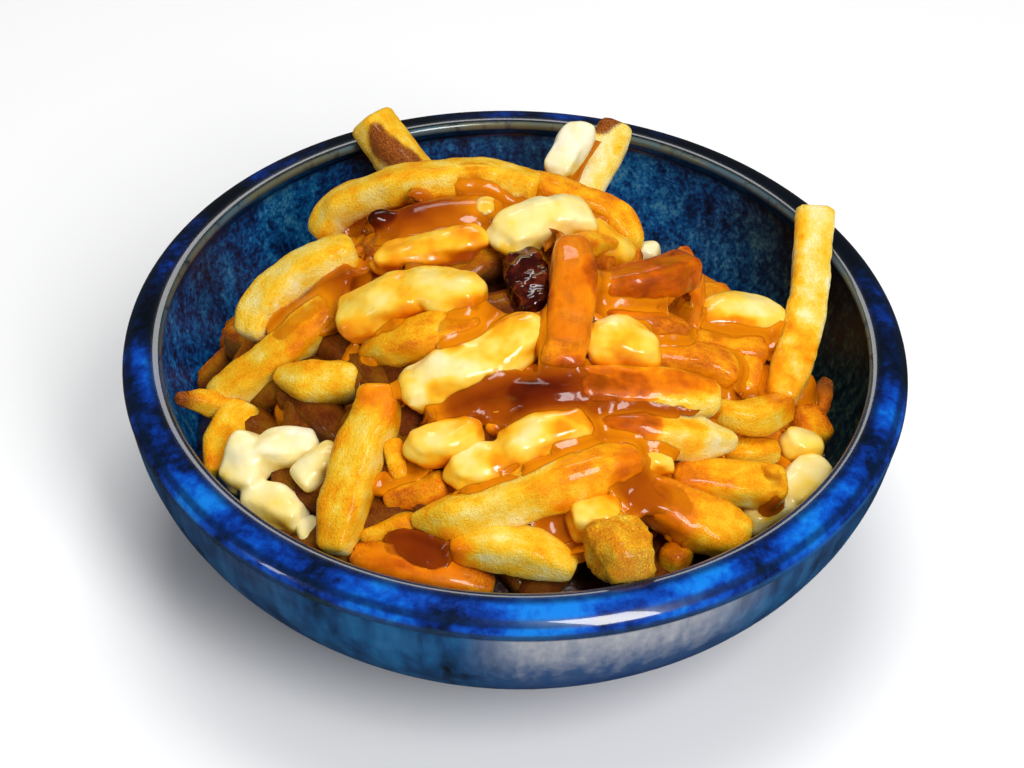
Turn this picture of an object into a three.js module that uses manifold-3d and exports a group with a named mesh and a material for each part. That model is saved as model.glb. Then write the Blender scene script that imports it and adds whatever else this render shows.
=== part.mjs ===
// A dish of poutine: a round stoneware bowl heaped with chips (french fries), cheese curds lying
// among them and one thick clot of gravy. Millimetres, +Z up. The origin is on the table under the
// bowl's centre, and the diner sits on the -Y side.
import * as THREE from "three";
import { mergeVertices } from "three/addons/utils/BufferGeometryUtils.js";
import Module from "manifold-3d";

const wasm = await Module();
wasm.setup();
const { Manifold, Mesh: SolidMesh } = wasm;

// Bowl
const RIM_RADIUS = 95; // outer edge of the rim
const RIM_EDGE_HEIGHT = 57.3; // height of that edge
const RIM_TOP_HEIGHT = 62; // top of the rim, at its inner edge
const MOUTH_RADIUS = 85; // inner edge of the rim
const LIP_UNDERCUT = 2; // how far the inner wall steps back under the rim
const LIP_HEIGHT = 59.2; // lower end of the rim's inner edge
const WALL_TOP_HEIGHT = 57; // where the inner wall starts under the rim
const RIM_CHAMFER = 1.2; // rounding of the rim's two edges
const RIM_CROWN = [[0.08, 0.47], [0.3, 0.81], [0.65, 1], [0.93, 0.98]]; // shares inward and up
const RIM_CLEARANCE = 9; // how far past the rim the food may not dip
const OUTER_FULLNESS = 1.5; // power of the wall's curve outside
const INNER_FULLNESS = 1.1; // power of the wall's curve inside
const FOOT_RADIUS = 46;
const FOOT_WIDTH = 6;
const FOOT_RECESS = 2.5;
const FLOOR_HEIGHT = 9;
const FLOOR_RADIUS = 38;
const FOOT_CHAMFER = 1;
const BOWL_SIDES = 40;
const WALL_STEPS = 5;

// Food
const GAP = 0.35; // clear space between neighbouring solids
const CHIP_SIDES = 8;
const CHIP_SQUARENESS = 0.45; // 0 is a round section, 1 a square one
const CHIP_STEP = 10; // length between two rings of a chip
const CHIP_END = 0.68; // size of an end beside the middle
const CHIP_SWELL = [0.94, 1.06]; // least and most size of a ring
const CHIP_DEPTH = [0.84, 0.98]; // least and most depth beside the width
const CHIP_ROLL = 0.35; // most turn of the section to either side, in radians
const CORE_TOP_HEIGHT = 78; // top of the core that the chips lie on
const CORE_EDGE_HEIGHT = 36; // where it meets the wall, at the sides
const CORE_TILT = 0.13; // how much more it is filled at the front than at the back
const CORE_RADIUS = 80;
const CORE_CENTRE = [-2, 0];
const CORE_FULLNESS = 1.1; // power of the dome: the lower, the steeper its sides
const CORE_SIDES = 20;
const CORE_RINGS = 5;
const FILL_CHIPS = 44;
const FILL_REACH = 70;
const FILL_LIFT = [-1, 1.5]; // how far the middle of such a chip lies over the core: front, back
const FILL_BACK = 12; // where the back begins
const FILL_WIDTH = 9;
const FILL_SIDES = 6;
const FILL_SHORTEST = 26;
const FILL_LONGEST = 46;
const FILL_SWING = 1; // most turn from the spiral's direction, in radians
const FILL_SEED = 100; // first seed of these chips
const FILL_LEFT_OUT = [16, 24, 29, 37, 38, 43]; // those that would stand before the bowl's far wall
const GOLDEN_ANGLE = Math.PI * (3 - Math.sqrt(5));
const CURD_BLOCKINESS = 0.35; // 0 is an ellipsoid, 1 a block
const CURD_OVERHANG = 0.42; // how far a lobe reaches past its ends, in widths
const CURD_SIZE = 0.95; // size of a lobe before its lumps
const CURD_LUMP = 0.09; // height of its large lumps
const CURD_DENT = 0.05; // height of its small ones
const CURD_WAVES = [3.1, 2.6, 4.3, 5]; // how closely they follow each other: large, then small
const CURD_SHIFTS = [1.7, 0.9]; // what a seed adds to the large ones' waves
const LARGE_CURD = 12.5; // half length from which a lobe gets the finer mesh

// The viewpoint from which the pieces were placed: the diner's, heading +Y and looking down.
const VIEW_PITCH = THREE.MathUtils.degToRad(42.38);
const VIEW_ROLL = THREE.MathUtils.degToRad(1.72);
const VIEW_DISTANCE = 524.8;
const VIEW_TARGET = new THREE.Vector3(-0.7, -14.6, RIM_EDGE_HEIGHT);
const VIEW_FOCAL = 2200; // pixels
const VIEW_CENTRE = [512, 384]; // pixels

// Chips that show: name, width, then places along the middle of the chip as
// [pixels across, pixels down, millimetres over the table].
const CHIPS = [
  [
    "arch", 10, [317, 238, 63], [337, 211, 69], [366, 196, 74], [400, 185, 78], [440, 180, 80],
    [480, 178, 80], [540, 190, 79],
  ],
  ["arch_tail", 8, [528, 187, 78], [572, 199, 77], [610, 215, 74], [629, 235, 71], [632, 254, 67]],
  ["upper_left", 10.5, [248, 338, 61], [262, 309, 65], [290, 281, 70], [322, 262, 74], [356, 250, 76]],
  ["left_long", 10, [210, 400, 50], [245, 382, 54], [280, 355, 60], [310, 327, 66], [338, 303, 70]],
  ["left_tip", 6.5, [176, 398, 57], [205, 402, 53], [240, 406, 49]],
  ["left_short", 10, [276, 375, 60], [312, 383, 62], [350, 383, 63]],
  ["left_standing", 11, [378, 384, 72], [376, 418, 67], [360, 452, 63], [346, 500, 57], [333, 553, 51]],
  ["dark_left", 9.5, [325, 398, 51], [308, 442, 47]],
  ["inner_left", 8, [272, 400, 49], [262, 434, 46]],
  ["left_down", 9, [248, 408, 50], [224, 440, 49], [213, 474, 49]],
  ["over_curd", 10, [362, 353, 68], [400, 343, 74], [435, 335, 78], [482, 322, 80]],
  ["centre_upright", 11, [572, 242, 87], [573, 288, 85], [567, 330, 81], [560, 374, 77]],
  ["centre_stub", 6, [566, 250, 85], [590, 244, 82], [617, 243, 79]],
  ["brown_right", 10, [600, 290, 80], [650, 280, 80], [692, 268, 77]],
  ["right_tip", 7.5, [683, 247, 73], [690, 290, 68], [688, 338, 64]],
  ["under_brown", 8, [600, 318, 75], [645, 324, 73], [688, 334, 70]],
  ["mid_right", 9.5, [644, 356, 69], [700, 363, 65], [733, 377, 61]],
  ["right_stub", 6.5, [751, 358, 62], [744, 392, 58]],
  ["tall_right", 9.5, [815, 212, 69], [812, 262, 65], [806, 312, 62], [795, 358, 59], [778, 402, 57]],
  ["right_elbow", 8.5, [716, 411, 63], [750, 418, 61], [786, 405, 58]],
  ["centre_long", 10.5, [572, 388, 75], [640, 391, 72], [690, 396, 70], [718, 401, 68]],
  ["centre_lower", 10.5, [594, 422, 69], [650, 433, 67], [700, 439, 64], [736, 441, 62]],
  [
    "big_lower", 10.5, [412, 520, 57], [460, 516, 60], [510, 502, 63], [560, 485, 66],
    [610, 468, 67], [640, 461, 67],
  ],
  ["right_lower", 9.5, [672, 477, 60], [720, 482, 58], [785, 487, 55]],
  ["right_end", 8, [722, 456, 52], [750, 453, 54], [779, 450, 54]],
  ["lower_right", 12, [632, 492, 61], [665, 505, 60], [700, 522, 57], [748, 541, 53]],
  ["bottom", 10.5, [450, 548, 56], [500, 546, 57], [540, 556, 56], [575, 571, 54]],
  ["crisp_end", 12.5, [603, 530, 57], [618, 548, 61], [635, 566, 66]],
  ["bottom_right", 8, [663, 550, 50], [688, 562, 50]],
  ["crisp_left", 7.5, [384, 500, 54], [448, 486, 58]],
  ["lower_left", 8, [360, 537, 51], [440, 518, 55]],
  ["bottom_left", 9, [352, 556, 49], [400, 566, 50], [440, 575, 50], [494, 588, 49]],
  ["small_left", 7, [392, 440, 61], [400, 480, 57]],
  ["crisp_centre", 9, [446, 412, 68], [490, 409, 69], [522, 406, 70]],
  ["centre_nub", 6.5, [488, 420, 68], [508, 430, 67]],
  ["far_right", 7.5, [828, 380, 48], [812, 410, 45], [786, 440, 38]],
  ["deep_right", 9, [798, 408, 50], [818, 445, 46]],
  ["behind_right", 7.5, [686, 300, 62], [728, 300, 57]],
  ["under_curd_right", 8, [690, 346, 64], [765, 353, 60]],
  ["deep_bottom", 7, [515, 522, 53], [562, 512, 53]],
  ["prop_right", 9, [640, 380, 64], [700, 398, 58], [770, 440, 47]],
  ["back_left", 11.5, [369, 117, 69], [388, 144, 64], [425, 192, 60], [462, 235, 52]],
  ["back_right", 9.5, [618, 124, 69], [605, 152, 65], [588, 184, 61], [566, 232, 53]],
];

// Curds: name, then one or more lobes, each a width, a thickness and the two ends of its middle.
const CURDS = [
  ["curd_top", [14, 10, [512, 236, 83], [540, 219, 84]], [13, 10, [540, 219, 84], [577, 220, 82]]],
  ["curd_under_tail", [12, 9, [596, 240, 77], [618, 256, 73]]],
  ["curd_upper_left", [10.5, 8, [384, 259, 77], [474, 243, 81]]],
  ["curd_big_left", [16, 11, [360, 318, 74], [402, 300, 79]], [15, 11, [420, 296, 80], [466, 294, 83]]],
  ["curd_block", [15, 11, [425, 386, 72], [470, 368, 76]], [15, 10, [470, 368, 76], [522, 338, 79]]],
  ["curd_square", [14, 11, [607, 345, 78], [636, 347, 77]]],
  ["curd_mid_left", [11, 9, [426, 449, 67], [467, 434, 69]]],
  ["curd_long", [11, 8, [464, 471, 66], [510, 458, 68]], [12, 9, [515, 446, 70], [574, 425, 72]]],
  ["curd_round", [12, 11, [586, 519, 61], [602, 519, 61]]],
  [
    "curd_white_left",
    [12, 11, [241, 475, 51], [250, 455, 53]],
    [11, 10, [268, 452, 54], [306, 450, 55]],
    [10, 9, [258, 500, 49], [293, 514, 49]],
  ],
  ["curd_small_left", [9, 8, [306, 478, 55], [333, 457, 57]]],
  ["curd_low", [8, 7, [308, 530, 47], [314, 538, 47]]],
  ["curd_far_right", [14, 11, [713, 320, 64], [768, 320, 61]]],
  ["curd_small_right", [9, 8, [794, 445, 53], [808, 446, 52]]],
  ["curd_white_right", [11, 9, [812, 474, 50], [795, 494, 49]], [9, 8, [790, 503, 48], [752, 519, 48]]],
  ["curd_back", [10, 7, [579, 133, 73], [561, 166, 69]]],
  ["curd_behind", [6, 6, [638, 253, 66], [650, 254, 66]]],
  ["curd_crumb", [8, 6, [474, 212, 79], [488, 211, 80]]],
  ["curd_deep", [7, 6, [650, 463, 65], [664, 463, 64]]],
];
const CLOT = ["gravy_clot", [11, 8, [524, 258, 80], [532, 304, 79]]];

const STONEWARE = new THREE.MeshStandardMaterial({ color: 0x123a6b, roughness: 0.2 });
const FRIED_POTATO = new THREE.MeshStandardMaterial({ color: 0xe09a2a, roughness: 0.55 });
const CURD = new THREE.MeshStandardMaterial({ color: 0xf3e2a6, roughness: 0.4 });
const GRAVY = new THREE.MeshStandardMaterial({ color: 0x4a1206, roughness: 0.15 });

const VERTICAL = new THREE.Vector3(0, 0, 1);
const viewBack = new THREE.Vector3(0, -Math.cos(VIEW_PITCH), Math.sin(VIEW_PITCH));
const viewEye = VIEW_TARGET.clone().addScaledVector(viewBack, VIEW_DISTANCE);
const viewRight = new THREE.Vector3(1, 0, 0).applyAxisAngle(viewBack, VIEW_ROLL);
const viewUp = new THREE.Vector3().crossVectors(viewBack, viewRight);

// The point of the sight line through a pixel that lies at a height over the table.
function seen([across, down, height]) {
  const ray = viewRight
    .clone()
    .multiplyScalar((across - VIEW_CENTRE[0]) / VIEW_FOCAL)
    .addScaledVector(viewUp, -(down - VIEW_CENTRE[1]) / VIEW_FOCAL)
    .sub(viewBack);
  return viewEye.clone().addScaledVector(ray, (height - viewEye.z) / ray.z);
}

// A repeatable number from 0 to 1 for a seed, so that every build is alike.
function chance(seed) {
  const wave = Math.sin(seed * 12.9898 + 4.1) * 43758.5453;
  return wave - Math.floor(wave);
}

// A repeatable number between two limits.
function between([least, most], seed) {
  return least + (most - least) * chance(seed);
}

// Joining and cutting.
function solidOf(geometry) {
  const bare = geometry.clone();
  bare.deleteAttribute("normal");
  bare.deleteAttribute("uv");
  const merged = mergeVertices(bare, 1e-3);
  return new Manifold(
    new SolidMesh({
      numProp: 3,
      vertProperties: new Float32Array(merged.attributes.position.array),
      triVerts: new Uint32Array(merged.index.array),
    }),
  );
}

function geometryOf(solid) {
  const mesh = solid.getMesh();
  const geometry = new THREE.BufferGeometry();
  geometry.setAttribute("position", new THREE.BufferAttribute(mesh.vertProperties, 3));
  geometry.setIndex(new THREE.BufferAttribute(mesh.triVerts, 1));
  geometry.computeVertexNormals();
  return geometry;
}

function largestBody(solid) {
  return solid.decompose().reduce((a, b) => (b.volume() > a.volume() ? b : a));
}

// The bowl's half section, from the underside's centre round the rim to the floor's centre.
function outerWall() {
  const reach = RIM_RADIUS - RIM_CHAMFER / 2 - FOOT_RADIUS;
  const rise = RIM_EDGE_HEIGHT - RIM_CHAMFER - FOOT_RECESS;
  return Array.from({ length: WALL_STEPS }, (_, i) => {
    const turn = ((i + 0.5) / WALL_STEPS) * (Math.PI / 2);
    return [
      FOOT_RADIUS + reach * Math.sin(turn) ** OUTER_FULLNESS,
      FOOT_RECESS + rise * (1 - Math.cos(turn)),
    ];
  });
}

function innerWall() {
  const top = MOUTH_RADIUS + LIP_UNDERCUT;
  return Array.from({ length: WALL_STEPS }, (_, i) => {
    const turn = ((i + 0.5) / WALL_STEPS) * (Math.PI / 2);
    return [
      FLOOR_RADIUS + (top - FLOOR_RADIUS) * Math.cos(turn) ** INNER_FULLNESS,
      FLOOR_HEIGHT + (WALL_TOP_HEIGHT - FLOOR_HEIGHT) * (1 - Math.sin(turn)),
    ];
  });
}

function bowlProfile() {
  const rimWidth = RIM_RADIUS - MOUTH_RADIUS;
  const rimRise = RIM_TOP_HEIGHT - RIM_EDGE_HEIGHT;
  return [
    [0, FOOT_RECESS],
    [FOOT_RADIUS - FOOT_WIDTH - FOOT_CHAMFER, FOOT_RECESS],
    [FOOT_RADIUS - FOOT_WIDTH, 0],
    [FOOT_RADIUS - FOOT_CHAMFER, 0],
    ...outerWall(),
    [RIM_RADIUS - RIM_CHAMFER / 2, RIM_EDGE_HEIGHT - RIM_CHAMFER],
    [RIM_RADIUS, RIM_EDGE_HEIGHT],
    ...RIM_CROWN.map(([inward, rise]) => {
      return [RIM_RADIUS - inward * rimWidth, RIM_EDGE_HEIGHT + rise * rimRise];
    }),
    [MOUTH_RADIUS, RIM_TOP_HEIGHT - RIM_CHAMFER],
    [MOUTH_RADIUS + LIP_UNDERCUT / 3, LIP_HEIGHT],
    [MOUTH_RADIUS + LIP_UNDERCUT, WALL_TOP_HEIGHT],
    ...innerWall(),
    [FLOOR_RADIUS, FLOOR_HEIGHT],
    [0, FLOOR_HEIGHT],
  ];
}

// What the food stays out of: the bowl, with a gap inside the wall and over the rim.
function keepOutProfile() {
  const outside = RIM_RADIUS + RIM_CLEARANCE;
  return [
    [0, -1],
    [outside, -1],
    [outside, RIM_TOP_HEIGHT + GAP],
    [MOUTH_RADIUS - GAP, RIM_TOP_HEIGHT + GAP],
    [MOUTH_RADIUS - GAP, LIP_HEIGHT],
    [MOUTH_RADIUS + LIP_UNDERCUT - GAP, WALL_TOP_HEIGHT],
    ...innerWall().map(([radius, height]) => [radius - GAP, height + GAP]),
    [FLOOR_RADIUS - GAP, FLOOR_HEIGHT + GAP],
    [0, FLOOR_HEIGHT + GAP],
  ];
}

function latheOf(profile, sides) {
  const points = profile.map(([radius, height]) => new THREE.Vector2(radius, height));
  return new THREE.LatheGeometry(points, sides).rotateX(Math.PI / 2);
}

// A bent bar along a curve through some places, with a rounded square section and smaller ends.
function chipGeometry({ places, width, seed, sides }) {
  const curve = new THREE.CatmullRomCurve3(places);
  const steps = Math.max(2, Math.round(curve.getLength() / CHIP_STEP));
  const depth = width * between(CHIP_DEPTH, seed + 0.5);
  const roll = between([-CHIP_ROLL, CHIP_ROLL], seed + 0.25);
  const geometry = new THREE.CylinderGeometry(1, 1, 1, sides, steps);
  const position = geometry.attributes.position;
  for (let i = 0; i < position.count; i += 1) {
    const along = THREE.MathUtils.clamp(position.getY(i) + 0.5, 0, 1);
    const across = position.getX(i);
    const over = position.getZ(i);
    const reach = Math.hypot(across, over);
    const corner = reach / Math.max(Math.abs(across), Math.abs(over), 1e-6);
    const end = Math.min(along, 1 - along) < 1e-3 ? CHIP_END : 1;
    const swell = between(CHIP_SWELL, seed + Math.round(along * steps));
    const size = 0.5 * end * swell * (1 + CHIP_SQUARENESS * (Math.min(corner, Math.SQRT2) - 1));
    const tangent = curve.getTangent(along);
    const side = new THREE.Vector3().crossVectors(tangent, VERTICAL).normalize();
    side.applyAxisAngle(tangent, roll);
    const top = new THREE.Vector3().crossVectors(side, tangent);
    const place = curve.getPoint(along);
    place.addScaledVector(side, across * size * width);
    place.addScaledVector(top, over * size * depth);
    position.setXYZ(i, place.x, place.y, place.z);
  }
  return geometry;
}

// One lobe of a curd: a lumpy rounded block between two ends, grown all round by a margin.
function lobeGeometry([width, thickness, start, finish], seed, margin) {
  const from = seen(start);
  const along = seen(finish).sub(from);
  const half = along.length() / 2 + width * CURD_OVERHANG;
  const middle = from.addScaledVector(along, 0.5);
  along.normalize();
  const side = new THREE.Vector3().crossVectors(VERTICAL, along).normalize();
  const top = new THREE.Vector3().crossVectors(along, side);
  const [lumpX, lumpY, dentZ, dentX] = CURD_WAVES;
  const [shiftX, shiftY] = CURD_SHIFTS;
  const geometry = new THREE.IcosahedronGeometry(1, half > LARGE_CURD ? 2 : 1);
  const position = geometry.attributes.position;
  for (let i = 0; i < position.count; i += 1) {
    const [x, y, z] = [position.getX(i), position.getY(i), position.getZ(i)];
    const block = 1 / Math.max(Math.abs(x), Math.abs(y), Math.abs(z)) - 1;
    const wave = Math.sin(lumpX * x + seed * shiftX) * Math.cos(lumpY * y + seed * shiftY);
    const dent = Math.sin(dentZ * z + dentX * x + seed);
    const size = (1 + CURD_BLOCKINESS * block) * (CURD_SIZE + CURD_LUMP * wave + CURD_DENT * dent);
    const place = middle.clone();
    place.addScaledVector(along, x * (half * size + margin));
    place.addScaledVector(side, y * ((width / 2) * size + margin));
    place.addScaledVector(top, z * ((thickness / 2) * size + margin));
    position.setXYZ(i, place.x, place.y, place.z);
  }
  return geometry;
}

function curdSolid(lobes, seed, margin = 0) {
  return lobes
    .map((lobe, i) => solidOf(lobeGeometry(lobe, seed + 10 * i, margin)))
    .reduce((whole, lobe) => whole.add(lobe));
}

// The heap's core: the inside of the bowl below, a dome above, fuller at the front.
function coreHeight(x, y) {
  const off = Math.hypot(x - CORE_CENTRE[0], y - CORE_CENTRE[1]) / CORE_RADIUS;
  const edge = CORE_EDGE_HEIGHT - CORE_TILT * y;
  return edge + (CORE_TOP_HEIGHT - edge) * Math.max(0, 1 - off * off) ** CORE_FULLNESS;
}

function coreSolid() {
  const reach = MOUTH_RADIUS + LIP_UNDERCUT;
  const dome = Array.from({ length: CORE_RINGS }, (_, i) => {
    const turn = (i / (CORE_RINGS - 1)) * (Math.PI / 2);
    return [reach * Math.cos(turn), CORE_TOP_HEIGHT];
  });
  dome[CORE_RINGS - 1][0] = 0;
  const geometry = latheOf([[0, FLOOR_HEIGHT - 1], [reach, FLOOR_HEIGHT - 1], ...dome], CORE_SIDES);
  const position = geometry.attributes.position;
  for (let i = 0; i < position.count; i += 1) {
    if (position.getZ(i) < CORE_TOP_HEIGHT - 1) continue;
    position.setZ(i, coreHeight(position.getX(i), position.getY(i)));
  }
  return solidOf(geometry);
}

// Chips that fill the heap where none was placed by sight: a spiral over the core.
function fillChips() {
  return Array.from({ length: FILL_CHIPS }, (_, k) => {
    const reach = Math.sqrt((k + 0.5) / FILL_CHIPS) * FILL_REACH;
    const turn = k * GOLDEN_ANGLE;
    const heading = turn + Math.PI / 2 + between([-FILL_SWING, FILL_SWING], k);
    const half = between([FILL_SHORTEST, FILL_LONGEST], k + 0.3) / 2;
    const places = [-half, 0, half].map((step) => {
      const x = CORE_CENTRE[0] + reach * Math.cos(turn) + step * Math.cos(heading);
      const y = CORE_CENTRE[1] + reach * Math.sin(turn) + step * Math.sin(heading);
      return new THREE.Vector3(x, y, coreHeight(x, y) + FILL_LIFT[y > FILL_BACK ? 1 : 0]);
    });
    return { places, width: FILL_WIDTH, seed: FILL_SEED + k, sides: FILL_SIDES };
  }).filter((_, k) => !FILL_LEFT_OUT.includes(k));
}

function shownChips() {
  return CHIPS.map(([, width, ...places], i) => {
    return { places: places.map(seen), width, seed: i, sides: CHIP_SIDES };
  });
}

// Curds are cut clear of each other and of the bowl, in the order of the list.
function curdSolids(keepOut) {
  const taken = [];
  return [...CURDS, CLOT].map(([name, ...lobes], i) => {
    let solid = curdSolid(lobes, i).subtract(keepOut);
    for (const room of taken) solid = solid.subtract(room);
    taken.push(curdSolid(lobes, i, GAP));
    return { name, solid: largestBody(solid), room: taken.at(-1) };
  });
}

// The chips joined to their core, cut clear of the bowl and of the curds that lie among them.
function heapSolid(keepOut, curds) {
  let heap = coreSolid();
  const shown = shownChips().map((chip) => solidOf(chipGeometry(chip)));
  const fill = fillChips().map((chip) => solidOf(chipGeometry(chip)));
  const clear = fill.filter((chip) => curds.every(({ room }) => chip.intersect(room).isEmpty()));
  for (const chip of [...shown, ...clear]) heap = heap.add(chip);
  heap = heap.subtract(keepOut);
  for (const { room } of curds) heap = heap.subtract(room);
  return largestBody(heap);
}

function piece(name, geometry, material) {
  const mesh = new THREE.Mesh(geometry, material);
  mesh.name = name;
  return mesh;
}

const keepOut = solidOf(latheOf(keepOutProfile(), BOWL_SIDES));
const curds = curdSolids(keepOut);
const heap = heapSolid(keepOut, curds);

const dish = new THREE.Group();
dish.add(piece("bowl", latheOf(bowlProfile(), BOWL_SIDES), STONEWARE));
dish.add(piece("chips", geometryOf(heap), FRIED_POTATO));
for (const { name, solid } of curds) {
  dish.add(piece(name, geometryOf(solid), name === CLOT[0] ? GRAVY : CURD));
}

export default dish;
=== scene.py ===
"""A dish of poutine: a blue glazed stoneware bowl heaped with chips, cheese curds and brown gravy."""

import logging
import math
from dataclasses import dataclass, field
from typing import Iterable, Sequence

import bmesh
import bpy
import numpy as np
from mathutils import Matrix, Vector, noise
from mathutils.bvhtree import BVHTree


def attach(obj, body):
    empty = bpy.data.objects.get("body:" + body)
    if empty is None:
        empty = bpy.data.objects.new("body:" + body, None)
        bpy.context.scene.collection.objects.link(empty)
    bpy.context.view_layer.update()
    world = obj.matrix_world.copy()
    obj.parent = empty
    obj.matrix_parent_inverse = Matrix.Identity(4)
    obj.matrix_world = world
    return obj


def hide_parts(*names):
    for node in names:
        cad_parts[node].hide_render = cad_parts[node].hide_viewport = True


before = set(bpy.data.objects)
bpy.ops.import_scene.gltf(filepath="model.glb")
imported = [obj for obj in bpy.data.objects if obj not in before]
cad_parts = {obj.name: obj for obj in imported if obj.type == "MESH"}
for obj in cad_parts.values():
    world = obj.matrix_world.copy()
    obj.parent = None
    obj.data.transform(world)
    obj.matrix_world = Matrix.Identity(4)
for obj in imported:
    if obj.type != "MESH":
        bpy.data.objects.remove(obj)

LOG = logging.getLogger("poutine")
MM = 0.001
GOLDEN_ANGLE = math.pi * (3 - math.sqrt(5))
Place = tuple[float, float, float]


def chance(seed: float) -> float:
    """A repeatable number from 0 to 1 for a seed."""
    wave = math.sin(seed * 12.9898 + 4.1) * 43758.5453
    return wave - math.floor(wave)


def between(limits: Sequence[float], seed: float) -> float:
    """A repeatable number between two limits."""
    return limits[0] + (limits[1] - limits[0]) * chance(seed)


def screen(red: int, green: int, blue: int) -> tuple[float, float, float, float]:
    """A colour given as it looks on a screen, made linear for the shader.

    Args:
        red: 0 to 255.
        green: 0 to 255.
        blue: 0 to 255.

    Returns:
        Linear red, green, blue and an alpha of 1.
    """
    parts = [((value / 255 + 0.055) / 1.055) ** 2.4 for value in (red, green, blue)]
    return (parts[0], parts[1], parts[2], 1.0)


# The viewpoint


@dataclass(frozen=True)
class Viewpoint:
    """The diner's view, heading +Y and looking down, from which the food was placed."""

    pitch: float = math.radians(42.38)
    roll: float = math.radians(1.72)
    distance: float = 524.8
    target: Place = (-0.7, -14.6, 57.3)
    focal: float = 2200.0
    width: float = 1024.0
    height: float = 768.0

    @property
    def back(self) -> Vector:
        """From what is looked at towards the eye."""
        return Vector((0, -math.cos(self.pitch), math.sin(self.pitch)))

    @property
    def right(self) -> Vector:
        """To the right in the picture."""
        return Matrix.Rotation(self.roll, 3, self.back) @ Vector((1, 0, 0))

    @property
    def eye(self) -> Vector:
        """Where the eye is, in millimetres."""
        return Vector(self.target) + self.back * self.distance

    def seen(self, place: Place) -> Vector:
        """The point of a pixel's sight line at a height.

        Args:
            place: Pixels across, pixels down, millimetres over the table.

        Returns:
            The point, in millimetres.
        """
        across, down, level = place
        up = self.back.cross(self.right)
        ray = self.right * ((across - self.width / 2) / self.focal)
        ray -= up * ((down - self.height / 2) / self.focal) + self.back
        return self.eye + ray * ((level - self.eye.z) / ray.z)

    def camera(self) -> None:
        """Puts the scene's camera at the viewpoint."""
        data = bpy.data.cameras.new("diner_view")
        data.sensor_width = 36
        data.lens = self.focal / self.width * data.sensor_width
        data.clip_start = 0.01
        data.clip_end = 20
        camera = bpy.data.objects.new("diner_view", data)
        axes = Matrix((self.right, self.back.cross(self.right), self.back)).transposed()
        camera.matrix_world = Matrix.Translation(self.eye * MM) @ axes.to_4x4()
        bpy.context.scene.collection.objects.link(camera)
        bpy.context.scene.camera = camera


VIEW = Viewpoint()


# Finishes


class Wire:
    """An output socket that joins in sums: each operator adds its Math node."""

    def __init__(self, paint: "Paint", socket: bpy.types.NodeSocket) -> None:
        """Keeps the socket and the paint that it belongs to."""
        self.paint = paint
        self.socket = socket

    def _sum(self, operation: str, left: "Wire | float", right: "Wire | float") -> "Wire":
        """Adds one Math node."""
        return self.paint.node("ShaderNodeMath", {"operation": operation}, {0: left, 1: right})

    def __add__(self, other: "Wire | float") -> "Wire":
        """Sum."""
        return self._sum("ADD", self, other)

    def __radd__(self, other: "Wire | float") -> "Wire":
        """Sum, from the right."""
        return self._sum("ADD", other, self)

    def __sub__(self, other: "Wire | float") -> "Wire":
        """Difference."""
        return self._sum("SUBTRACT", self, other)

    def __rsub__(self, other: "Wire | float") -> "Wire":
        """Difference, from the right."""
        return self._sum("SUBTRACT", other, self)

    def __mul__(self, other: "Wire | float") -> "Wire":
        """Product."""
        return self._sum("MULTIPLY", self, other)

    def __rmul__(self, other: "Wire | float") -> "Wire":
        """Product, from the right."""
        return self._sum("MULTIPLY", other, self)

    def __pow__(self, other: "Wire | float") -> "Wire":
        """Power."""
        return self._sum("POWER", self, other)

    def between(self, low: float, high: float) -> "Wire":
        """0 at the low value, 1 at the high one, smooth between them."""
        settings = {"interpolation_type": "SMOOTHSTEP"}
        return self.paint.node("ShaderNodeMapRange", settings, {0: self, 1: low, 2: high, 3: 0.0, 4: 1.0})

    def capped(self) -> "Wire":
        """The value held between 0 and 1."""
        return self._sum("MINIMUM", self._sum("MAXIMUM", self, 0.0), 1.0)


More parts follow.
